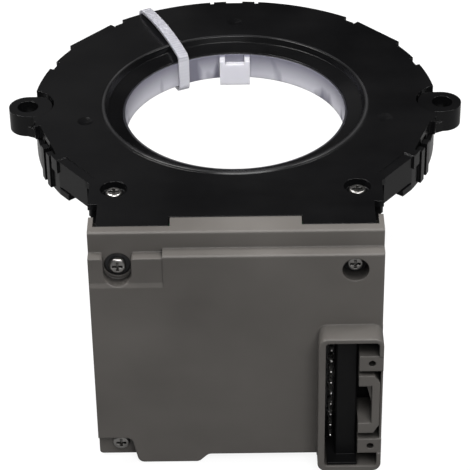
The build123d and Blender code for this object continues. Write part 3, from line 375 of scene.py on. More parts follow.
@dataclass(frozen=True)
class FineHairlines:
    """Fine crossing scratches of handled metal.

    Attributes:
        lines: Noise values between which a scratch grows from nothing to full.
        runs: Turn in degrees and stretch of each set of scratches.
    """

    lines: Span = (0.62, 0.7)
    runs: tuple[tuple[Triple, Triple], ...] = (
        ((0, 0, 31), (1.0, 0.04, 0.2)),
        ((24, 0, -58), (1.0, 0.05, 0.3)),
    )

    def build(self) -> None:
        """Build the node group."""
        desk, start, end = open_group(
            Effect.HAIRLINES, inputs={"Density": 900.0}, outputs={"Lines": SocketKind.NUMBER}
        )
        density = start.outputs["Density"]
        total: object = 0.0
        for turn, stretch in self.runs:
            streaks = desk.noise(density, detail=2.0, where=desk.place(turn=turn, size=stretch))
            total = desk.larger(total, desk.spread(streaks, *self.lines, 0.0, 1.0))
        desk.feed(end.inputs["Lines"], total)


@dataclass(frozen=True)
class ShadedRecess:
    """Mask of the corners and recesses, by how open each place is, for painted shade.

    Attributes:
        samples: Rays that find how open a place is.
    """

    samples: int = 8

    def build(self) -> None:
        """Build the node group."""
        desk, start, end = open_group(
            Effect.RECESS,
            inputs={"Reach": 0.9 * MM, "Shut": 0.5, "Open": 0.9},
            outputs={"Recess": SocketKind.NUMBER},
        )
        corner = desk.node("ShaderNodeAmbientOcclusion", samples=self.samples)
        desk.feed(corner.inputs["Distance"], start.outputs["Reach"])
        shut, clear = start.outputs["Shut"], start.outputs["Open"]
        desk.feed(end.inputs["Recess"], desk.spread(corner.outputs["AO"], shut, clear, 1.0, 0.0))


def place_effect(desk: ShaderDesk, effect: Effect, **values: float) -> Node:
    """Place one shared effect in a material.

    Args:
        desk: Desk of the material.
        effect: Effect that is placed.
        values: Values of the group's inputs, by name.

    Returns:
        The group node.
    """
    made = desk.node("ShaderNodeGroup", node_tree=bpy.data.node_groups[effect.value])
    preset(made, values)
    return made


def open_material(name: str) -> tuple[Material, ShaderDesk, Node]:
    """Start a material with one Principled shader.

    Args:
        name: Name of the material.

    Returns:
        The material, its desk and its shader node.
    """
    material = bpy.data.materials.new(name)
    material.use_nodes = True
    desk = ShaderDesk(material.node_tree)
    return material, desk, material.node_tree.nodes["Principled BSDF"]


def raise_surface(
    desk: ShaderDesk, shader: Node, height: Socket, depth: float, normal: Socket | None = None
) -> None:
    """Give a shader its fine relief.

    Args:
        desk: Desk of the material.
        shader: Shader that gets the relief.
        height: Height of the relief, from 0 to 1.
        depth: Depth of the relief in metres.
        normal: Normal under the relief, or nothing.
    """
    bump = desk.node("ShaderNodeBump")
    preset(bump, {"Strength": 1.0, "Distance": depth})
    desk.feed(bump.inputs["Height"], height)
    if normal is not None:
        desk.feed(bump.inputs["Normal"], normal)
    desk.feed(shader.inputs["Normal"], bump.outputs["Normal"])


def cloud_gloss(
    desk: ShaderDesk, shader: Node, grain: Node, roughness: Span, added: Socket | None = None
) -> None:
    """Give a shader its cloudy gloss.

    Args:
        desk: Desk of the material.
        shader: Shader that gets the gloss.
        grain: Node of the moulded grain, whose mottle gives the clouds.
        roughness: Roughness of the smoothest and of the roughest clouds.
        added: Roughness that is added to the clouds', or nothing.
    """
    clouds = desk.spread(grain.outputs["Mottle"], *CLOUDS, *roughness)
    desk.feed(shader.inputs["Roughness"], clouds if added is None else desk.plus(clouds, added))


@dataclass(frozen=True)
class MouldedPlastic:
    """A moulded plastic with grain, cloudy gloss, dust, painted edge highlights and, where set, a
    painted bead highlight and painted well shade.

    Attributes:
        name: Name of the material.
        colour: Its colour where it is clean.
        pale: Its colour in pale clouds and in the painted highlight on the edges.
        roughness: Its mean roughness.
        gloss_spread: How far the roughness goes to both sides of its mean.
        grain_scale: Noise scale of the grain.
        grain_depth: Depth of the grain.
        edge_radius: Radius of its softened edges.
        edge_highlight: How much of the painted highlight on the edges shows.
        dust: How much of the dust shows.
        dust_colour: Colour of the dust.
        gloss: Specular level.
        cloud: Noise scale of the clouds.
        mottle: How pale the clouds are at most.
        pale_clouds: Mottle between which the clouds grow pale.
        bead_radius: Radius of the ring cover's bead, with its painted highlight line, or 0 where there
            is none.
        bead_half: Half the width of the painted highlight line on the bead.
        bead_highlight: Colour of the painted highlight line.
        highlight_scale: Noise scale of the patches in the painted highlight line.
        highlight_patches: Noise values between which the painted highlight grows from faint to full.
        highlight_faint: Share of the painted highlight that is left where it is faint.
        well_shade: How much painted shade darkens the screw wells, or 0 where there are none.
        well_reach: How far a wall may be to close a well in.
        well_opening: Openness between which a well goes from fully shaded to unshaded.
        well_shade_colour: Colour of the painted shade deep in the wells.
    """

    name: str
    colour: Colour
    pale: Colour
    roughness: float
    gloss_spread: float = 0.08
    grain_scale: float = 5000.0
    grain_depth: float = 0.004 * MM
    edge_radius: float = 0.2 * MM
    edge_highlight: float = 0.35
    dust: float = 0.25
    dust_colour: Colour = (0.42, 0.41, 0.39)
    gloss: float = 0.5
    cloud: float = 60.0
    mottle: float = 0.28
    pale_clouds: Span = (0.32, 0.68)
    bead_radius: float = 0.0
    bead_half: float = 0.5 * MM
    bead_highlight: Colour = (0.026, 0.026, 0.027)
    highlight_scale: float = 110.0
    highlight_patches: Span = (0.35, 0.65)
    highlight_faint: float = 0.45
    well_shade: float = 0.0
    well_reach: float = 6.0 * MM
    well_opening: Span = (0.28, 0.5)
    well_shade_colour: Colour = (0.004, 0.0038, 0.0036)

    def paint_bead_highlight(self, desk: ShaderDesk, under: Socket) -> Socket:
        """Lay a painted highlight line along the round bead over a colour.

        Args:
            desk: Desk of the material.
            under: Colour of the plastic beside the bead.

        Returns:
            The colour with its painted highlight line.
        """
        beside = desk.work_out("SUBTRACT", desk.from_axis(), self.bead_radius)
        line = desk.spread(desk.work_out("ABSOLUTE", beside), 0.0, self.bead_half, 1.0, 0.0)
        clouds = desk.noise(self.highlight_scale, detail=4.0)
        patch = desk.spread(clouds, *self.highlight_patches, self.highlight_faint, 1.0)
        # Painted highlight line along the bead, in patches.
        return desk.blend(desk.times(line, patch), under, self.bead_highlight)

    def paint_well_shade(self, desk: ShaderDesk, under: Socket) -> Socket:
        """Lay painted shade in the screw wells and other deep recesses over a colour.

        Args:
            desk: Desk of the material.
            under: Colour of the plastic outside the wells.

        Returns:
            The colour with painted shade in its wells.
        """
        shut, clear = self.well_opening
        well = place_effect(desk, Effect.RECESS, Reach=self.well_reach, Shut=shut, Open=clear)
        # Painted shade: the less open a place, the darker its colour.
        return desk.blend(desk.times(well.outputs["Recess"], self.well_shade), under, self.well_shade_colour)

    def build(self) -> Material:
        """Build the material."""
        material, desk, shader = open_material(self.name)
        grain = place_effect(desk, Effect.GRAIN, Fineness=self.grain_scale, Cloud=self.cloud)
        soft_edge = place_effect(desk, Effect.SOFT_EDGE, Radius=self.edge_radius)
        dust = place_effect(desk, Effect.DUST)
        uneven = desk.spread(grain.outputs["Mottle"], *self.pale_clouds, 0.0, self.mottle)
        mottled = desk.blend(uneven, self.colour, self.pale)
        # Painted highlight on the softened edges, in the pale colour.
        highlighted = desk.blend(desk.times(soft_edge.outputs["Edge"], self.edge_highlight), mottled, self.pale)
        # Painted highlight line along the ring cover's bead, where it has one.
        if self.bead_radius > 0:
            highlighted = self.paint_bead_highlight(desk, highlighted)
        settled = desk.times(dust.outputs["Dust"], self.dust)
        dust_and_shade = desk.blend(settled, highlighted, self.dust_colour)
        # Painted shade in the screw wells and other deep recesses, where asked.
        if self.well_shade > 0:
            dust_and_shade = self.paint_well_shade(desk, dust_and_shade)
        desk.feed(shader.inputs["Base Color"], dust_and_shade)
        span = (self.roughness - self.gloss_spread, self.roughness + self.gloss_spread)
        cloud_gloss(desk, shader, grain, span, added=settled)
        raise_surface(desk, shader, grain.outputs["Height"], self.grain_depth, soft_edge.outputs["Normal"])
        preset(shader, {"Specular IOR Level": self.gloss})
        return material


@dataclass(frozen=True)
class PlatedMetal:
    """A bright plated metal with hairlines, slightly uneven gloss and painted shade in its corners and
    recesses.

    Attributes:
        name: Name of the material.
        colour: Colour of the bright plating.
        dull: Colour where it is tarnished.
        roughness: Roughness of the smoothest and of the roughest clouds.
        edge_radius: Radius of its softened edges.
        fineness: Noise scale of the grain.
        cloud: Noise scale of the clouds.
        tarnish_clouds: Mottle between which the tarnish grows.
        tarnish: How much of the tarnish shows at most.
        hairlines: Noise scale of the hairlines.
        line_depth: Depth of the hairlines.
        line_roughness: Roughness that the hairlines add.
        recess: How much of the painted shade in the corners and recesses shows.
        corner_shade: Colour of that painted shade.
    """

    name: str
    colour: Colour
    dull: Colour
    roughness: Span
    edge_radius: float = 0.12 * MM
    fineness: float = 9000.0
    cloud: float = 500.0
    tarnish_clouds: Span = (0.4, 0.68)
    tarnish: float = 0.8
    hairlines: float = 1100.0
    line_depth: float = 0.002 * MM
    line_roughness: float = 0.12
    recess: float = 0.9
    corner_shade: Colour = (0.02, 0.019, 0.018)

    def build(self) -> Material:
        """Build the material."""
        material, desk, shader = open_material(self.name)
        preset(shader, {"Metallic": 1.0})
        recess = place_effect(desk, Effect.RECESS)
        grain = place_effect(desk, Effect.GRAIN, Fineness=self.fineness, Cloud=self.cloud)
        soft_edge = place_effect(desk, Effect.SOFT_EDGE, Radius=self.edge_radius)
        lines = place_effect(desk, Effect.HAIRLINES, Density=self.hairlines)
        tarnish = desk.spread(grain.outputs["Mottle"], *self.tarnish_clouds, 0.0, self.tarnish)
        tarnished = desk.blend(tarnish, self.colour, self.dull)
        # Painted shade in the corners and recesses.
        corner_shade = desk.times(recess.outputs["Recess"], self.recess)
        desk.feed(shader.inputs["Base Color"], desk.blend(corner_shade, tarnished, self.corner_shade))
        scratched = desk.times(lines.outputs["Lines"], self.line_roughness)
        cloud_gloss(desk, shader, grain, self.roughness, added=scratched)
        raise_surface(desk, shader, lines.outputs["Lines"], self.line_depth, soft_edge.outputs["Normal"])
        return material


@dataclass(frozen=True)
class RotorNylon:
    """Translucent white nylon of the rotor, with painted shade: on its thin wall towards the black lip
    and in blotches, on upward faces and above the lip.

    Attributes:
        name: Name of the material.
        colour: Colour of its upright faces.
        shaded_top: Colour of its faces that look up, darkened as painted shade.
        shade: Colour of the painted shade on the thin wall, fullest at the black lip.
        wall_radius: Radius of the wall.
        wall_fade: How far inside that radius the shade starts and is full.
        clear_height: Height at which the shade starts to grow.
        lip_height: Height of the ring cover's lip, where the shade is full.
        rise: Share of the shade at those two heights.
        rim_shade_fade: How far over the lip the painted dark band starts and is full.
        rim_shade: How much of the painted dark band shows.
        rim_shade_colour: Colour of the painted dark band.
        column_scale: Noise scale of the upright blotches of painted shade in the wall.
        column_stretch: Stretch of those blotches along the three axes.
        blotches: Noise values between which a blotch grows.
        blotch_shade: Share of the shade in a full blotch.
        level: Upward parts of the normal between which a face goes over to its painted shade.
        edge_radius: Radius of its softened edges.
        grain_depth: Depth of the grain.
        roughness: Roughness of the smoothest and of the roughest clouds.
        glow: Subsurface weight.
        glow_tint: Subsurface radius of the three colours.
        glow_depth: Subsurface scale.
    """

    name: str
    colour: Colour
    shaded_top: Colour
    shade: Colour
    wall_radius: float = 23.9 * MM
    wall_fade: Span = (1.2 * MM, 0.6 * MM)
    clear_height: float = -1.0 * MM
    lip_height: float = 3.4 * MM
    rise: Span = (0.3, 0.85)
    rim_shade_fade: Span = (0.26 * MM, 0.32 * MM)
    rim_shade: float = 0.97
    rim_shade_colour: Colour = (0.012, 0.012, 0.014)
    column_scale: float = 170.0
    column_stretch: Triple = (1.0, 1.0, 0.3)
    blotches: Span = (0.46, 0.62)
    blotch_shade: float = 0.85
    level: Span = (0.3, 0.9)
    edge_radius: float = 0.4 * MM
    grain_depth: float = 0.004 * MM
    roughness: Span = (0.3, 0.5)
    glow: float = 0.5
    glow_tint: Triple = (1.0, 1.0, 1.1)
    glow_depth: float = 1.6 * MM

    def mask_shade(self, desk: ShaderDesk, height: Socket) -> Socket:
        """Mask the painted shade of the thin wall, which grows upwards and has blotches.

        Args:
            desk: Desk of the material.
            height: Height of each point.

        Returns:
            The mask.
        """
        inner, outer = (self.wall_radius - fade for fade in self.wall_fade)
        wall = desk.spread(desk.from_axis(), inner, outer, 0.0, 1.0)
        rise = desk.spread(height, self.clear_height, self.lip_height, *self.rise)
        columns = desk.noise(self.column_scale, detail=2.0, where=desk.place(size=self.column_stretch))
        blotch = desk.spread(columns, *self.blotches, 0.0, self.blotch_shade)
        return desk.times(wall, desk.larger(rise, blotch))

    def build(self) -> Material:
        """Build the material."""
        material, desk, shader = open_material(self.name)
        grain = place_effect(desk, Effect.GRAIN, Fineness=3000.0, Cloud=120.0)
        soft_edge = place_effect(desk, Effect.SOFT_EDGE, Radius=self.edge_radius)
        height = desk.split(desk.place())["Z"]
        # Painted shade on the thin wall, darker towards the black lip and in blotches.
        shaded = self.mask_shade(desk, height)
        # Painted dark band over the lip's height, which hides the rotor's upper edge.
        under, over = (self.lip_height + fade for fade in self.rim_shade_fade)
        rim_shade = desk.spread(height, under, over, 0.0, self.rim_shade)
        # Painted shade on the faces that look up.
        upper_shaded = desk.blend(desk.facing_up(*self.level), self.colour, self.shaded_top)
        wall_shaded = desk.blend(shaded, upper_shaded, self.shade)
        desk.feed(shader.inputs["Base Color"], desk.blend(rim_shade, wall_shaded, self.rim_shade_colour))
        cloud_gloss(desk, shader, grain, self.roughness)
        desk.feed(shader.inputs["Subsurface Weight"], desk.spread(rim_shade, 0.0, 1.0, self.glow, 0.0))
        raise_surface(desk, shader, grain.outputs["Height"], self.grain_depth, soft_edge.outputs["Normal"])
        preset(shader, {"Subsurface Radius": self.glow_tint, "Subsurface Scale": self.glow_depth})
        return material


@dataclass(frozen=True)
class RibbedNylon:
    """Natural nylon of the cable tie, with the fine teeth of its strap, painted shade on the teeth and
    where it lies over the black ring.

    Attributes:
        name: Name of the material.
        colour: Colour of the strap down the ring's side.
        shaded_over_black: Colour of the strap where it lies over the black ring, darkened as painted
            shade.
        shade: Colour of the painted shade on the teeth.
        strap_turn: Turn of the strap about Z, in degrees.
        smooth_below: Height above which the strap shows its teeth in full and takes on its painted
            shade.
        smooth_fade: How far below that height the teeth fade.
        smooth_share: Share of the teeth that is left further down.
        tooth_pitch: Distance from tooth to tooth.
        tooth_flanks: Sines between which a tooth rises.
        tooth_depth: Depth of the teeth.
        tooth_shade: How much of the shade shows on the teeth.
        grain_share: Height of the grain, as a share of the teeth's.
        edge_radius: Radius of its softened edges.
        roughness: Roughness of the smoothest and of the roughest clouds.
        glow: Subsurface weight.
        glow_tint: Subsurface radius of the three colours.
        glow_depth: Subsurface scale.
    """

    name: str
    colour: Colour
    shaded_over_black: Colour
    shade: Colour
    strap_turn: float = 114.7
    smooth_below: float = 5.2 * MM
    smooth_fade: float = 1.0 * MM
    smooth_share: float = 0.15
    tooth_pitch: float = 0.85 * MM
    tooth_flanks: Span = (-0.6, 0.6)
    tooth_depth: float = 0.03 * MM
    tooth_shade: float = 0.2
    grain_share: float = 0.15
    edge_radius: float = 0.25 * MM
    roughness: Span = (0.24, 0.42)
    glow: float = 0.45
    glow_tint: Triple = (1.0, 0.98, 1.05)
    glow_depth: float = 1.5 * MM

    def build(self) -> Material:
        """Build the material."""
        material, desk, shader = open_material(self.name)
        grain = place_effect(desk, Effect.GRAIN, Fineness=4000.0, Cloud=220.0)
        soft_edge = place_effect(desk, Effect.SOFT_EDGE, Radius=self.edge_radius)
        along = desk.split(desk.place(turn=(0, 0, -self.strap_turn)))
        run = desk.plus(along["X"], along["Z"])
        wave = desk.work_out("SINE", desk.times(run, 2 * math.pi / self.tooth_pitch))
        low = self.smooth_below - self.smooth_fade
        upper = desk.spread(along["Z"], low, self.smooth_below, self.smooth_share, 1.0)
        teeth = desk.times(desk.spread(wave, *self.tooth_flanks, 0.0, 1.0), upper)
        # Painted shade where the strap lies over the black ring.
        upper_shaded = desk.blend(upper, self.colour, self.shaded_over_black)
        # Painted shade on the teeth.
        shaded = desk.blend(desk.times(teeth, self.tooth_shade), upper_shaded, self.shade)
        desk.feed(shader.inputs["Base Color"], shaded)
        cloud_gloss(desk, shader, grain, self.roughness)
        height = desk.plus(teeth, desk.times(grain.outputs["Height"], self.grain_share))
        raise_surface(desk, shader, height, self.tooth_depth, soft_edge.outputs["Normal"])
        preset(shader, {"Subsurface Weight": self.glow, "Subsurface Radius": self.glow_tint})
        preset(shader, {"Subsurface Scale": self.glow_depth})
        return material


@dataclass(frozen=True)
class SolderMask:
    """Green solder mask over copper tracks, with the weave of the laminate under it.

    Attributes:
        name: Name of the material.
        colour: Colour of the mask over bare laminate.
        track: Colour of the mask over copper.
        track_pitch: Distance from track to track.
        upright: Whether the board stands, with its face to the front.
        track_width: Width of a track, as a share of the pitch.
        track_run: Length of a straight run, as a share of the pitch.
        track_depth: Height of the tracks.
        track_cover: How much of the tracks shows.
        weave_scale: Noise scale of the laminate's weave.
        weave_stretch: Stretch of the weave along the three axes.
        weave_cover: How much of the weave shows.
        roughness: Roughness of the smoothest and of the roughest clouds.
    """

    name: str
    colour: Colour
    track: Colour
    track_pitch: float
    upright: bool = False
    track_width: float = 0.16
    track_run: float = 4.6
    track_depth: float = 0.03 * MM
    track_cover: float = 0.75
    weave_scale: float = 2600.0
    weave_stretch: Triple = (1.0, 0.3, 1.0)
    weave_cover: float = 0.3
    roughness: Span = (0.22, 0.4)

    def lay_tracks(self, desk: ShaderDesk, turn: Triple) -> Socket:
        """Mask the copper tracks, which run like the joints of brickwork.

        Args:
            desk: Desk of the material.
            turn: Turn of the board's face in degrees.

        Returns:
            The mask of the tracks.
        """
        where = desk.place(turn=turn)
        rows = desk.node("ShaderNodeTexBrick", offset=0.37, squash=0.6, squash_frequency=3)
        desk.feed(rows.inputs["Vector"], where)
        preset(
            rows,
            {
                "Scale": 1.0,
                "Mortar Size": self.track_width * self.track_pitch,
                "Mortar Smooth": 0.1,
                "Brick Width": self.track_run * self.track_pitch,
                "Row Height": self.track_pitch,
                **dict.fromkeys(("Color1", "Color2"), (0.0, 0.0, 0.0, 1.0)),
                "Mortar": (1.0, 1.0, 1.0, 1.0),
            },
        )
        return rows.outputs["Color"]

    def build(self) -> Material:
        """Build the material."""
        material, desk, shader = open_material(self.name)
        turn = (90, 0, 0) if self.upright else (0, 0, 0)
        tracks = self.lay_tracks(desk, turn)
        threads = desk.place(turn=turn, size=self.weave_stretch)
        weave = desk.noise(self.weave_scale, detail=2.0, where=threads)
        grain = place_effect(desk, Effect.GRAIN, Fineness=6000.0, Cloud=90.0)
        base = desk.blend(desk.times(weave, self.weave_cover), self.colour, self.track)
        tracked = desk.blend(desk.times(tracks, self.track_cover), base, self.track)
        desk.feed(shader.inputs["Base Color"], tracked)
        cloud_gloss(desk, shader, grain, self.roughness)
        raise_surface(desk, shader, tracks, self.track_depth)
        return material


class Finishes:
    """All finishes of the sensor, built once."""

    def __init__(self) -> None:
        """Build the shared effects and the materials."""
        for effect in (MouldedGrain, SoftEdgeHighlight, SettledDust, FineHairlines, ShadedRecess):
            effect().build()
        self.build_mouldings()
        self.build_inner_plastics()
        self.build_metals()
        self.build_boards()

    def build_mouldings(self) -> None:
        """Build the finishes of the housing, the connector, the rotor and the cable tie."""
        black = MouldedPlastic(
            "black_housing_plastic", (0.0018, 0.0018, 0.002), (0.009, 0.009, 0.0096), 0.21,
            gloss_spread=0.06, grain_scale=4200.0, grain_depth=0.002 * MM, edge_radius=0.18 * MM,
            edge_highlight=0.6, dust=0.008, gloss=0.26,
        )
        self.housing = black.build()
        # The ring cover's bead carries a painted highlight line.
        self.ring_cover = replace(black, name="bead_highlight_plastic", bead_radius=28.6 * MM).build()
        # The grey shell has painted shade in its screw wells and other deep recesses.
        self.cover = MouldedPlastic(
            "warm_grey_plastic", (0.057, 0.0525, 0.0483), (0.155, 0.145, 0.135), 0.5,
            grain_scale=3400.0, grain_depth=0.007 * MM, edge_radius=0.45 * MM, edge_highlight=0.4,
            dust=0.05, gloss=0.35, cloud=36.0, mottle=0.42, well_shade=0.9,
        ).build()
        self.header = MouldedPlastic(
            "charcoal_header_plastic", (0.002, 0.002, 0.0022), (0.01, 0.01, 0.0105), 0.45,
            dust=0.01, gloss=0.15,
        ).build()
        self.rotor = RotorNylon(
            "white_rotor_nylon", (0.71, 0.705, 0.76), (0.4, 0.4, 0.43), (0.085, 0.083, 0.125)
        ).build()
        self.strap = RibbedNylon(
            "cable_tie_nylon", (0.66, 0.66, 0.71), (0.3, 0.3, 0.33), (0.1, 0.1, 0.12)
        ).build()

    def build_inner_plastics(self) -> None:
        """Build the finishes of the gears, the magnets and the components."""
        self.gear = MouldedPlastic(
            "acetal_gear_plastic", (0.74, 0.73, 0.69), (0.85, 0.84, 0.8), 0.35,
            edge_radius=0.1 * MM, dust=0.0,
        ).build()
        self.magnet = MouldedPlastic(
            "sintered_ferrite", (0.05, 0.05, 0.054), (0.12, 0.12, 0.125), 0.6,
            gloss_spread=0.14, grain_scale=7000.0, grain_depth=0.01 * MM, edge_highlight=0.5, dust=0.0,
        ).build()
        self.epoxy = MouldedPlastic(
            "chip_epoxy", (0.018, 0.018, 0.02), (0.05, 0.05, 0.052), 0.55,
            grain_scale=9000.0, grain_depth=0.005 * MM, edge_radius=0.08 * MM, dust=0.0,
        ).build()
        self.resin = MouldedPlastic(
            "ochre_resin", (0.55, 0.36, 0.1), (0.7, 0.52, 0.22), 0.4,
            edge_radius=0.12 * MM, dust=0.0,
        ).build()
        self.ceramic = MouldedPlastic(
            "glazed_ceramic", (0.03, 0.03, 0.034), (0.4, 0.4, 0.4), 0.3,
            edge_radius=0.1 * MM, edge_highlight=0.9, dust=0.0,
        ).build()

    def build_metals(self) -> None:
        """Build the finishes of the screws, their washers and the pins."""
        self.washers = MouldedPlastic(
            "black_oxide", (0.004, 0.004, 0.0045), (0.02, 0.02, 0.021), 0.5,
            grain_scale=8000.0, edge_radius=0.1 * MM, edge_highlight=0.5, dust=0.0,
        ).build()
        self.screws = PlatedMetal(
            "nickel_plating", (0.36, 0.352, 0.34), (0.15, 0.144, 0.138), (0.22, 0.42)
        ).build()
        self.tinned = PlatedMetal(
            "tin_plating", (0.88, 0.87, 0.85), (0.62, 0.61, 0.59), (0.16, 0.36),
            edge_radius=0.06 * MM,
        ).build()

    def build_boards(self) -> None:
        """Build the finishes of the two circuit boards."""
        flat = SolderMask("sensor_board_mask", (0.012, 0.085, 0.04), (0.03, 0.19, 0.09), 1.6 * MM)
        self.flat_board = flat.build()
        upright = replace(flat, name="main_board_mask", track_pitch=1.9 * MM, upright=True)
        self.upright_board = upright.build()


@dataclass
class SubAssembly(ABC):
    """Pieces that belong together, with the finishes that they wear.

    Attributes:
        frame: The loaded frame.
        finishes: All finishes of the sensor.
    """

    frame: dict
    finishes: Finishes

    @abstractmethod
    def wearing(self) -> dict[str, Material]:
        """Give the finish of each piece, by the name of its node."""

    def make(self) -> None:
        """Dress every piece, all its slots alike, and report it."""
        for node, material in self.wearing().items():
            mesh = self.frame["nodes"][node].data
            if not mesh.materials:
                mesh.materials.append(material)
            for index in range(len(mesh.materials)):
                mesh.materials[index] = material
            LOG.info("%s is finished in %s", node, material.name)


class RingHousing(SubAssembly):
    """Black ring: the tray with its ears, and the cover that snaps on it."""

    def wearing(self) -> dict[str, Material]:
        """Give the finishes of the two mouldings of the ring."""
        return {"ring_base": self.finishes.housing, "ring_cover": self.finishes.ring_cover}


class RotorDrive(SubAssembly):
    """White rotor in the bore, and the two gears that it turns."""

    def wearing(self) -> dict[str, Material]:
        """Give the finishes of the rotor, the measuring gears and their magnets."""
        pieces = {"rotor": self.finishes.rotor}
        for name in ("a", "b"):
            pieces[f"measuring_gear_{name}"] = self.finishes.gear
            pieces[f"magnet_{name}"] = self.finishes.magnet
        return pieces


class ElectronicsBox(SubAssembly):
    """Grey front shell with its wells and the connector."""

    def wearing(self) -> dict[str, Material]:
        """Give the finishes of the shell, the header and the pins."""
        return {
            "electronics_cover": self.finishes.cover,
            "connector_header": self.finishes.header,
            "connector_pins": self.finishes.tinned,
        }


class CircuitBoards(SubAssembly):
    """The two boards, their components and the pins between them."""

    def wearing(self) -> dict[str, Material]:
        """Give the finishes of the boards and of what stands on them."""
        chips = ("sensor_chip_a", "sensor_chip_b", "microcontroller", "bus_transceiver")
        return {
            "sensor_board": self.finishes.flat_board,
            "main_board": self.finishes.upright_board,
            **dict.fromkeys((*chips, "voltage_regulator"), self.finishes.epoxy),
            **dict.fromkeys(("crystal", "board_link"), self.finishes.tinned),
            **dict.fromkeys(("tantalum_capacitors", "chip_capacitors"), self.finishes.resin),
            "chip_resistors": self.finishes.ceramic,
        }


class Fasteners(SubAssembly):
    """Screws of the ring, the front shell and the boards."""

    def wearing(self) -> dict[str, Material]:
        """Give the finishes of the screws and their washers."""
        screws = ("ring_screws", "cover_screws", "board_screws")
        return {
            **dict.fromkeys(screws, self.finishes.screws),
            "cover_washers": self.finishes.washers,
        }


class ShippingTie(SubAssembly):
    """Cable tie that holds the rotor at its centre until it is fitted."""

    def wearing(self) -> dict[str, Material]:
        """Give the finish of the strap and its head."""
        return {"cable_tie": self.finishes.strap}


def add_object(name: str, data: bpy.types.ID) -> bpy.types.Object:
    """Put an object in the scene.

    Args:
        name: Name of the object.
        data: Its mesh, camera or lamp.

    Returns:
        The object.
    """
    made = bpy.data.objects.new(name, data)
    bpy.context.scene.collection.objects.link(made)
    return made


@dataclass(frozen=True)
class PhotoCamera:
    """Camera at the photograph's place, with its turn and lens.

    Attributes:
        place: Its place.
        azimuth: Turn of its line of sight about Z, in degrees.
        elevation: How steeply it looks down, in degrees.
        roll: Turn about its line of sight, in degrees.
        lens: Focal length in millimetres.
        sensor: Width of the sensor in millimetres.
        near: Nearest distance that it sees.
        far: Farthest distance that it sees.
    """

    place: Triple = (1.551 * MM, -403.444 * MM, 249.691 * MM)
    azimuth: float = 0.28
    elevation: float = 34.69
    roll: float = -0.87
    lens: float = 166.06
    sensor: float = 36.0
    near: float = 0.01
    far: float = 20.0

    def set_up(self) -> None:
        """Make the camera, and let the scene be seen through it."""
        turn = math.radians(self.azimuth)
        rise = math.radians(self.elevation)
        tilt = math.radians(self.roll)
        level = math.cos(rise)
        back = Vector((math.sin(turn) * level, -math.cos(turn) * level, math.sin(rise)))
        level_right = (-back).cross(Vector((0, 0, 1))).normalized()
        level_up = level_right.cross(-back)
        right = math.cos(tilt) * level_right + math.sin(tilt) * level_up
        up = -math.sin(tilt) * level_right + math.cos(tilt) * level_up
        data = bpy.data.cameras.new("photo_camera")
        data.lens = self.lens
        data.sensor_width = self.sensor
        data.clip_start = self.near
        data.clip_end = self.far
        camera = add_object("photo_camera", data)
        rows = [(right[axis], up[axis], back[axis], self.place[axis]) for axis in range(3)]
        camera.matrix_world = Matrix((*rows, (0, 0, 0, 1)))
        bpy.context.scene.camera = camera


@dataclass(frozen=True)
class SoftLamp:
    """A square soft lamp.

    Attributes:
        name: Name of the lamp.
        place: Its place.
        size: Side of its face.
        power: Its power in watts.
        colour: Its colour.
    """

    name: str
    place: Triple
    size: float
    power: float
    colour: Colour

    def hang(self, target: Triple) -> None:
        """Hang the lamp so that it looks at the target."""
        data = bpy.data.lights.new(self.name, "AREA")
        data.shape = "SQUARE"
        data.size = self.size
        data.energy = self.power
        data.color = self.colour
        lamp = add_object(self.name, data)
        lamp.location = self.place
        sight = Vector(target) - Vector(self.place)
        lamp.rotation_euler = sight.to_track_quat("-Z", "Y").to_euler()


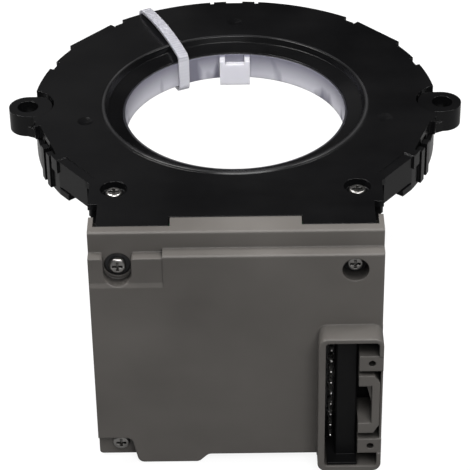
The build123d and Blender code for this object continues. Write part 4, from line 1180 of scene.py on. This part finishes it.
@dataclass(frozen=True)
class RoomLight:
    """White room round the sensor, whose light depends on the direction it comes from.

    A span holds the X, Y or Z of that direction, between which its light fades in or out.

    Attributes:
        front: Strength from the front.
        back: Strength from behind.
        depth: Y, from the front's strength to the back's.
        low: Share of that light that is left near the floor.
        rise: Z, from the low share to the full light.
        zenith: Share of the light that is left straight above.
        crown: Z, from the full light to the zenith's share.
        side: Strength from the left and from the right.
        flank: X to either side, from none to the sides' full light.
        flank_rise: Z, from none to the sides' full light.
        sheen: Strength of the bright patch on the left behind.
        sheen_left: X, from none to the patch's full light.
        sheen_behind: Y, from none to the patch's full light.
        sheen_foot: Z, from none to the patch's full light.
        sheen_head: Z, from the patch's full light to none.
    """

    front: float = 2.7
    back: float = 0.2
    depth: Span = (-0.25, 0.35)
    low: float = 0.15
    rise: Span = (0.2, 0.65)
    zenith: float = 0.3
    crown: Span = (0.72, 0.95)
    side: float = 2.2
    flank: Span = (0.28, 0.55)
    flank_rise: Span = (0.05, 0.25)
    sheen: float = 3.2
    sheen_left: Span = (-0.02, -0.05)
    sheen_behind: Span = (0.5, 0.7)
    sheen_foot: Span = (0.4, 0.46)
    sheen_head: Span = (0.58, 0.66)

    def fill(self) -> None:
        """Fill the world with this light, which the camera sees as plain white."""
        world = bpy.data.worlds.new("white_room")
        bpy.context.scene.world = world
        world.use_nodes = True
        desk = ShaderDesk(world.node_tree)
        seen = desk.node("ShaderNodeLightPath").outputs["Is Camera Ray"]
        parts = desk.split(desk.node("ShaderNodeTexCoord").outputs["Generated"])
        across, deep, high = parts["X"], parts["Y"], parts["Z"]
        room = desk.spread(deep, *self.depth, self.front, self.back)
        rise = desk.spread(high, *self.rise, self.low, 1.0)
        crown = desk.spread(high, *self.crown, 1.0, self.zenith)
        main_light = desk.times(room, desk.times(rise, crown))
        flank = desk.spread(desk.work_out("ABSOLUTE", across), *self.flank, 0.0, self.side)
        flank_rise = desk.spread(high, *self.flank_rise, 0.0, 1.0)
        side_light = desk.times(flank, desk.times(flank_rise, crown))
        left = desk.spread(across, *self.sheen_left, 0.0, self.sheen)
        behind = desk.spread(deep, *self.sheen_behind, 0.0, 1.0)
        foot = desk.spread(high, *self.sheen_foot, 0.0, 1.0)
        head = desk.spread(high, *self.sheen_head, 1.0, 0.0)
        sheen = desk.times(desk.times(left, behind), desk.times(foot, head))
        light = desk.plus(desk.larger(main_light, side_light), sheen)
        background = world.node_tree.nodes["Background"]
        desk.feed(background.inputs["Strength"], desk.spread(seen, 0.0, 1.0, light, 1.0))


@dataclass(frozen=True)
class PaleFloor:
    """Pale floor under the sensor, which shows white and keeps the shadow.

    Attributes:
        height: Its height.
        size: Its side.
        colour: Colour of its surface.
        roughness: Its roughness.
        gloss: Its specular level.
        glow: Strength of its own white light, for other rays and for the camera.
    """

    height: float = -51.9 * MM
    size: float = 6.0
    colour: Colour = (0.13, 0.13, 0.13)
    roughness: float = 0.9
    gloss: float = 0.1
    glow: Span = (0.1, 0.88)

    def build_material(self) -> Material:
        """Build the floor's material."""
        material, desk, shader = open_material("pale_floor")
        preset(shader, {"Base Color": (*self.colour, 1.0), "Roughness": self.roughness})
        preset(shader, {"Specular IOR Level": self.gloss, "Emission Color": (1.0, 1.0, 1.0, 1.0)})
        seen = desk.node("ShaderNodeLightPath").outputs["Is Camera Ray"]
        desk.feed(shader.inputs["Emission Strength"], desk.spread(seen, 0.0, 1.0, *self.glow))
        return material

    def lay(self) -> None:
        """Lay the floor as a part of the stage."""
        mesh = bpy.data.meshes.new("pale_floor")
        shape = bmesh.new()
        bmesh.ops.create_grid(shape, x_segments=1, y_segments=1, size=self.size / 2)
        bmesh.ops.translate(shape, verts=shape.verts, vec=(0, 0, self.height))
        shape.to_mesh(mesh)
        shape.free()
        floor = add_object("pale_floor", mesh)
        mesh.materials.append(self.build_material())


@dataclass(frozen=True)
class Studio:
    """Camera, lamps, room and floor round the sensor; the lamps look at the target."""

    camera: PhotoCamera = PhotoCamera()
    lamps: tuple[SoftLamp, ...] = (
        SoftLamp("left_softbox", (-0.33, 0.05, 0.6), 0.3, 6.4, (1.0, 0.99, 0.98)),
        SoftLamp("right_softbox", (0.36, 0.02, 0.56), 0.2, 2.4, (1.0, 0.99, 0.98)),
        SoftLamp("front_fill", (0.1, -0.62, 0.62), 0.5, 8.6, (1.0, 1.0, 1.0)),
    )
    target: Triple = (0, -0.01, -0.01)
    room: RoomLight = RoomLight()
    floor: PaleFloor = PaleFloor()

    def make(self) -> None:
        """Set up the camera, the lamps, the room, the floor and the colour management."""
        self.camera.set_up()
        for lamp in self.lamps:
            lamp.hang(self.target)
        self.room.fill()
        self.floor.lay()
        bpy.context.scene.view_settings.view_transform = "Standard"
        LOG.info("the studio is set")


def main() -> None:
    """Load the frame, dress every sub-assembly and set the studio."""
    logging.basicConfig(level=logging.INFO, format="%(name)s: %(message)s")
    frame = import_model()
    finishes = Finishes()
    for build in (RingHousing, RotorDrive, ElectronicsBox, CircuitBoards, Fasteners, ShippingTie):
        build(frame, finishes).make()
    Studio().make()


if __name__ == "__main__":
    main()
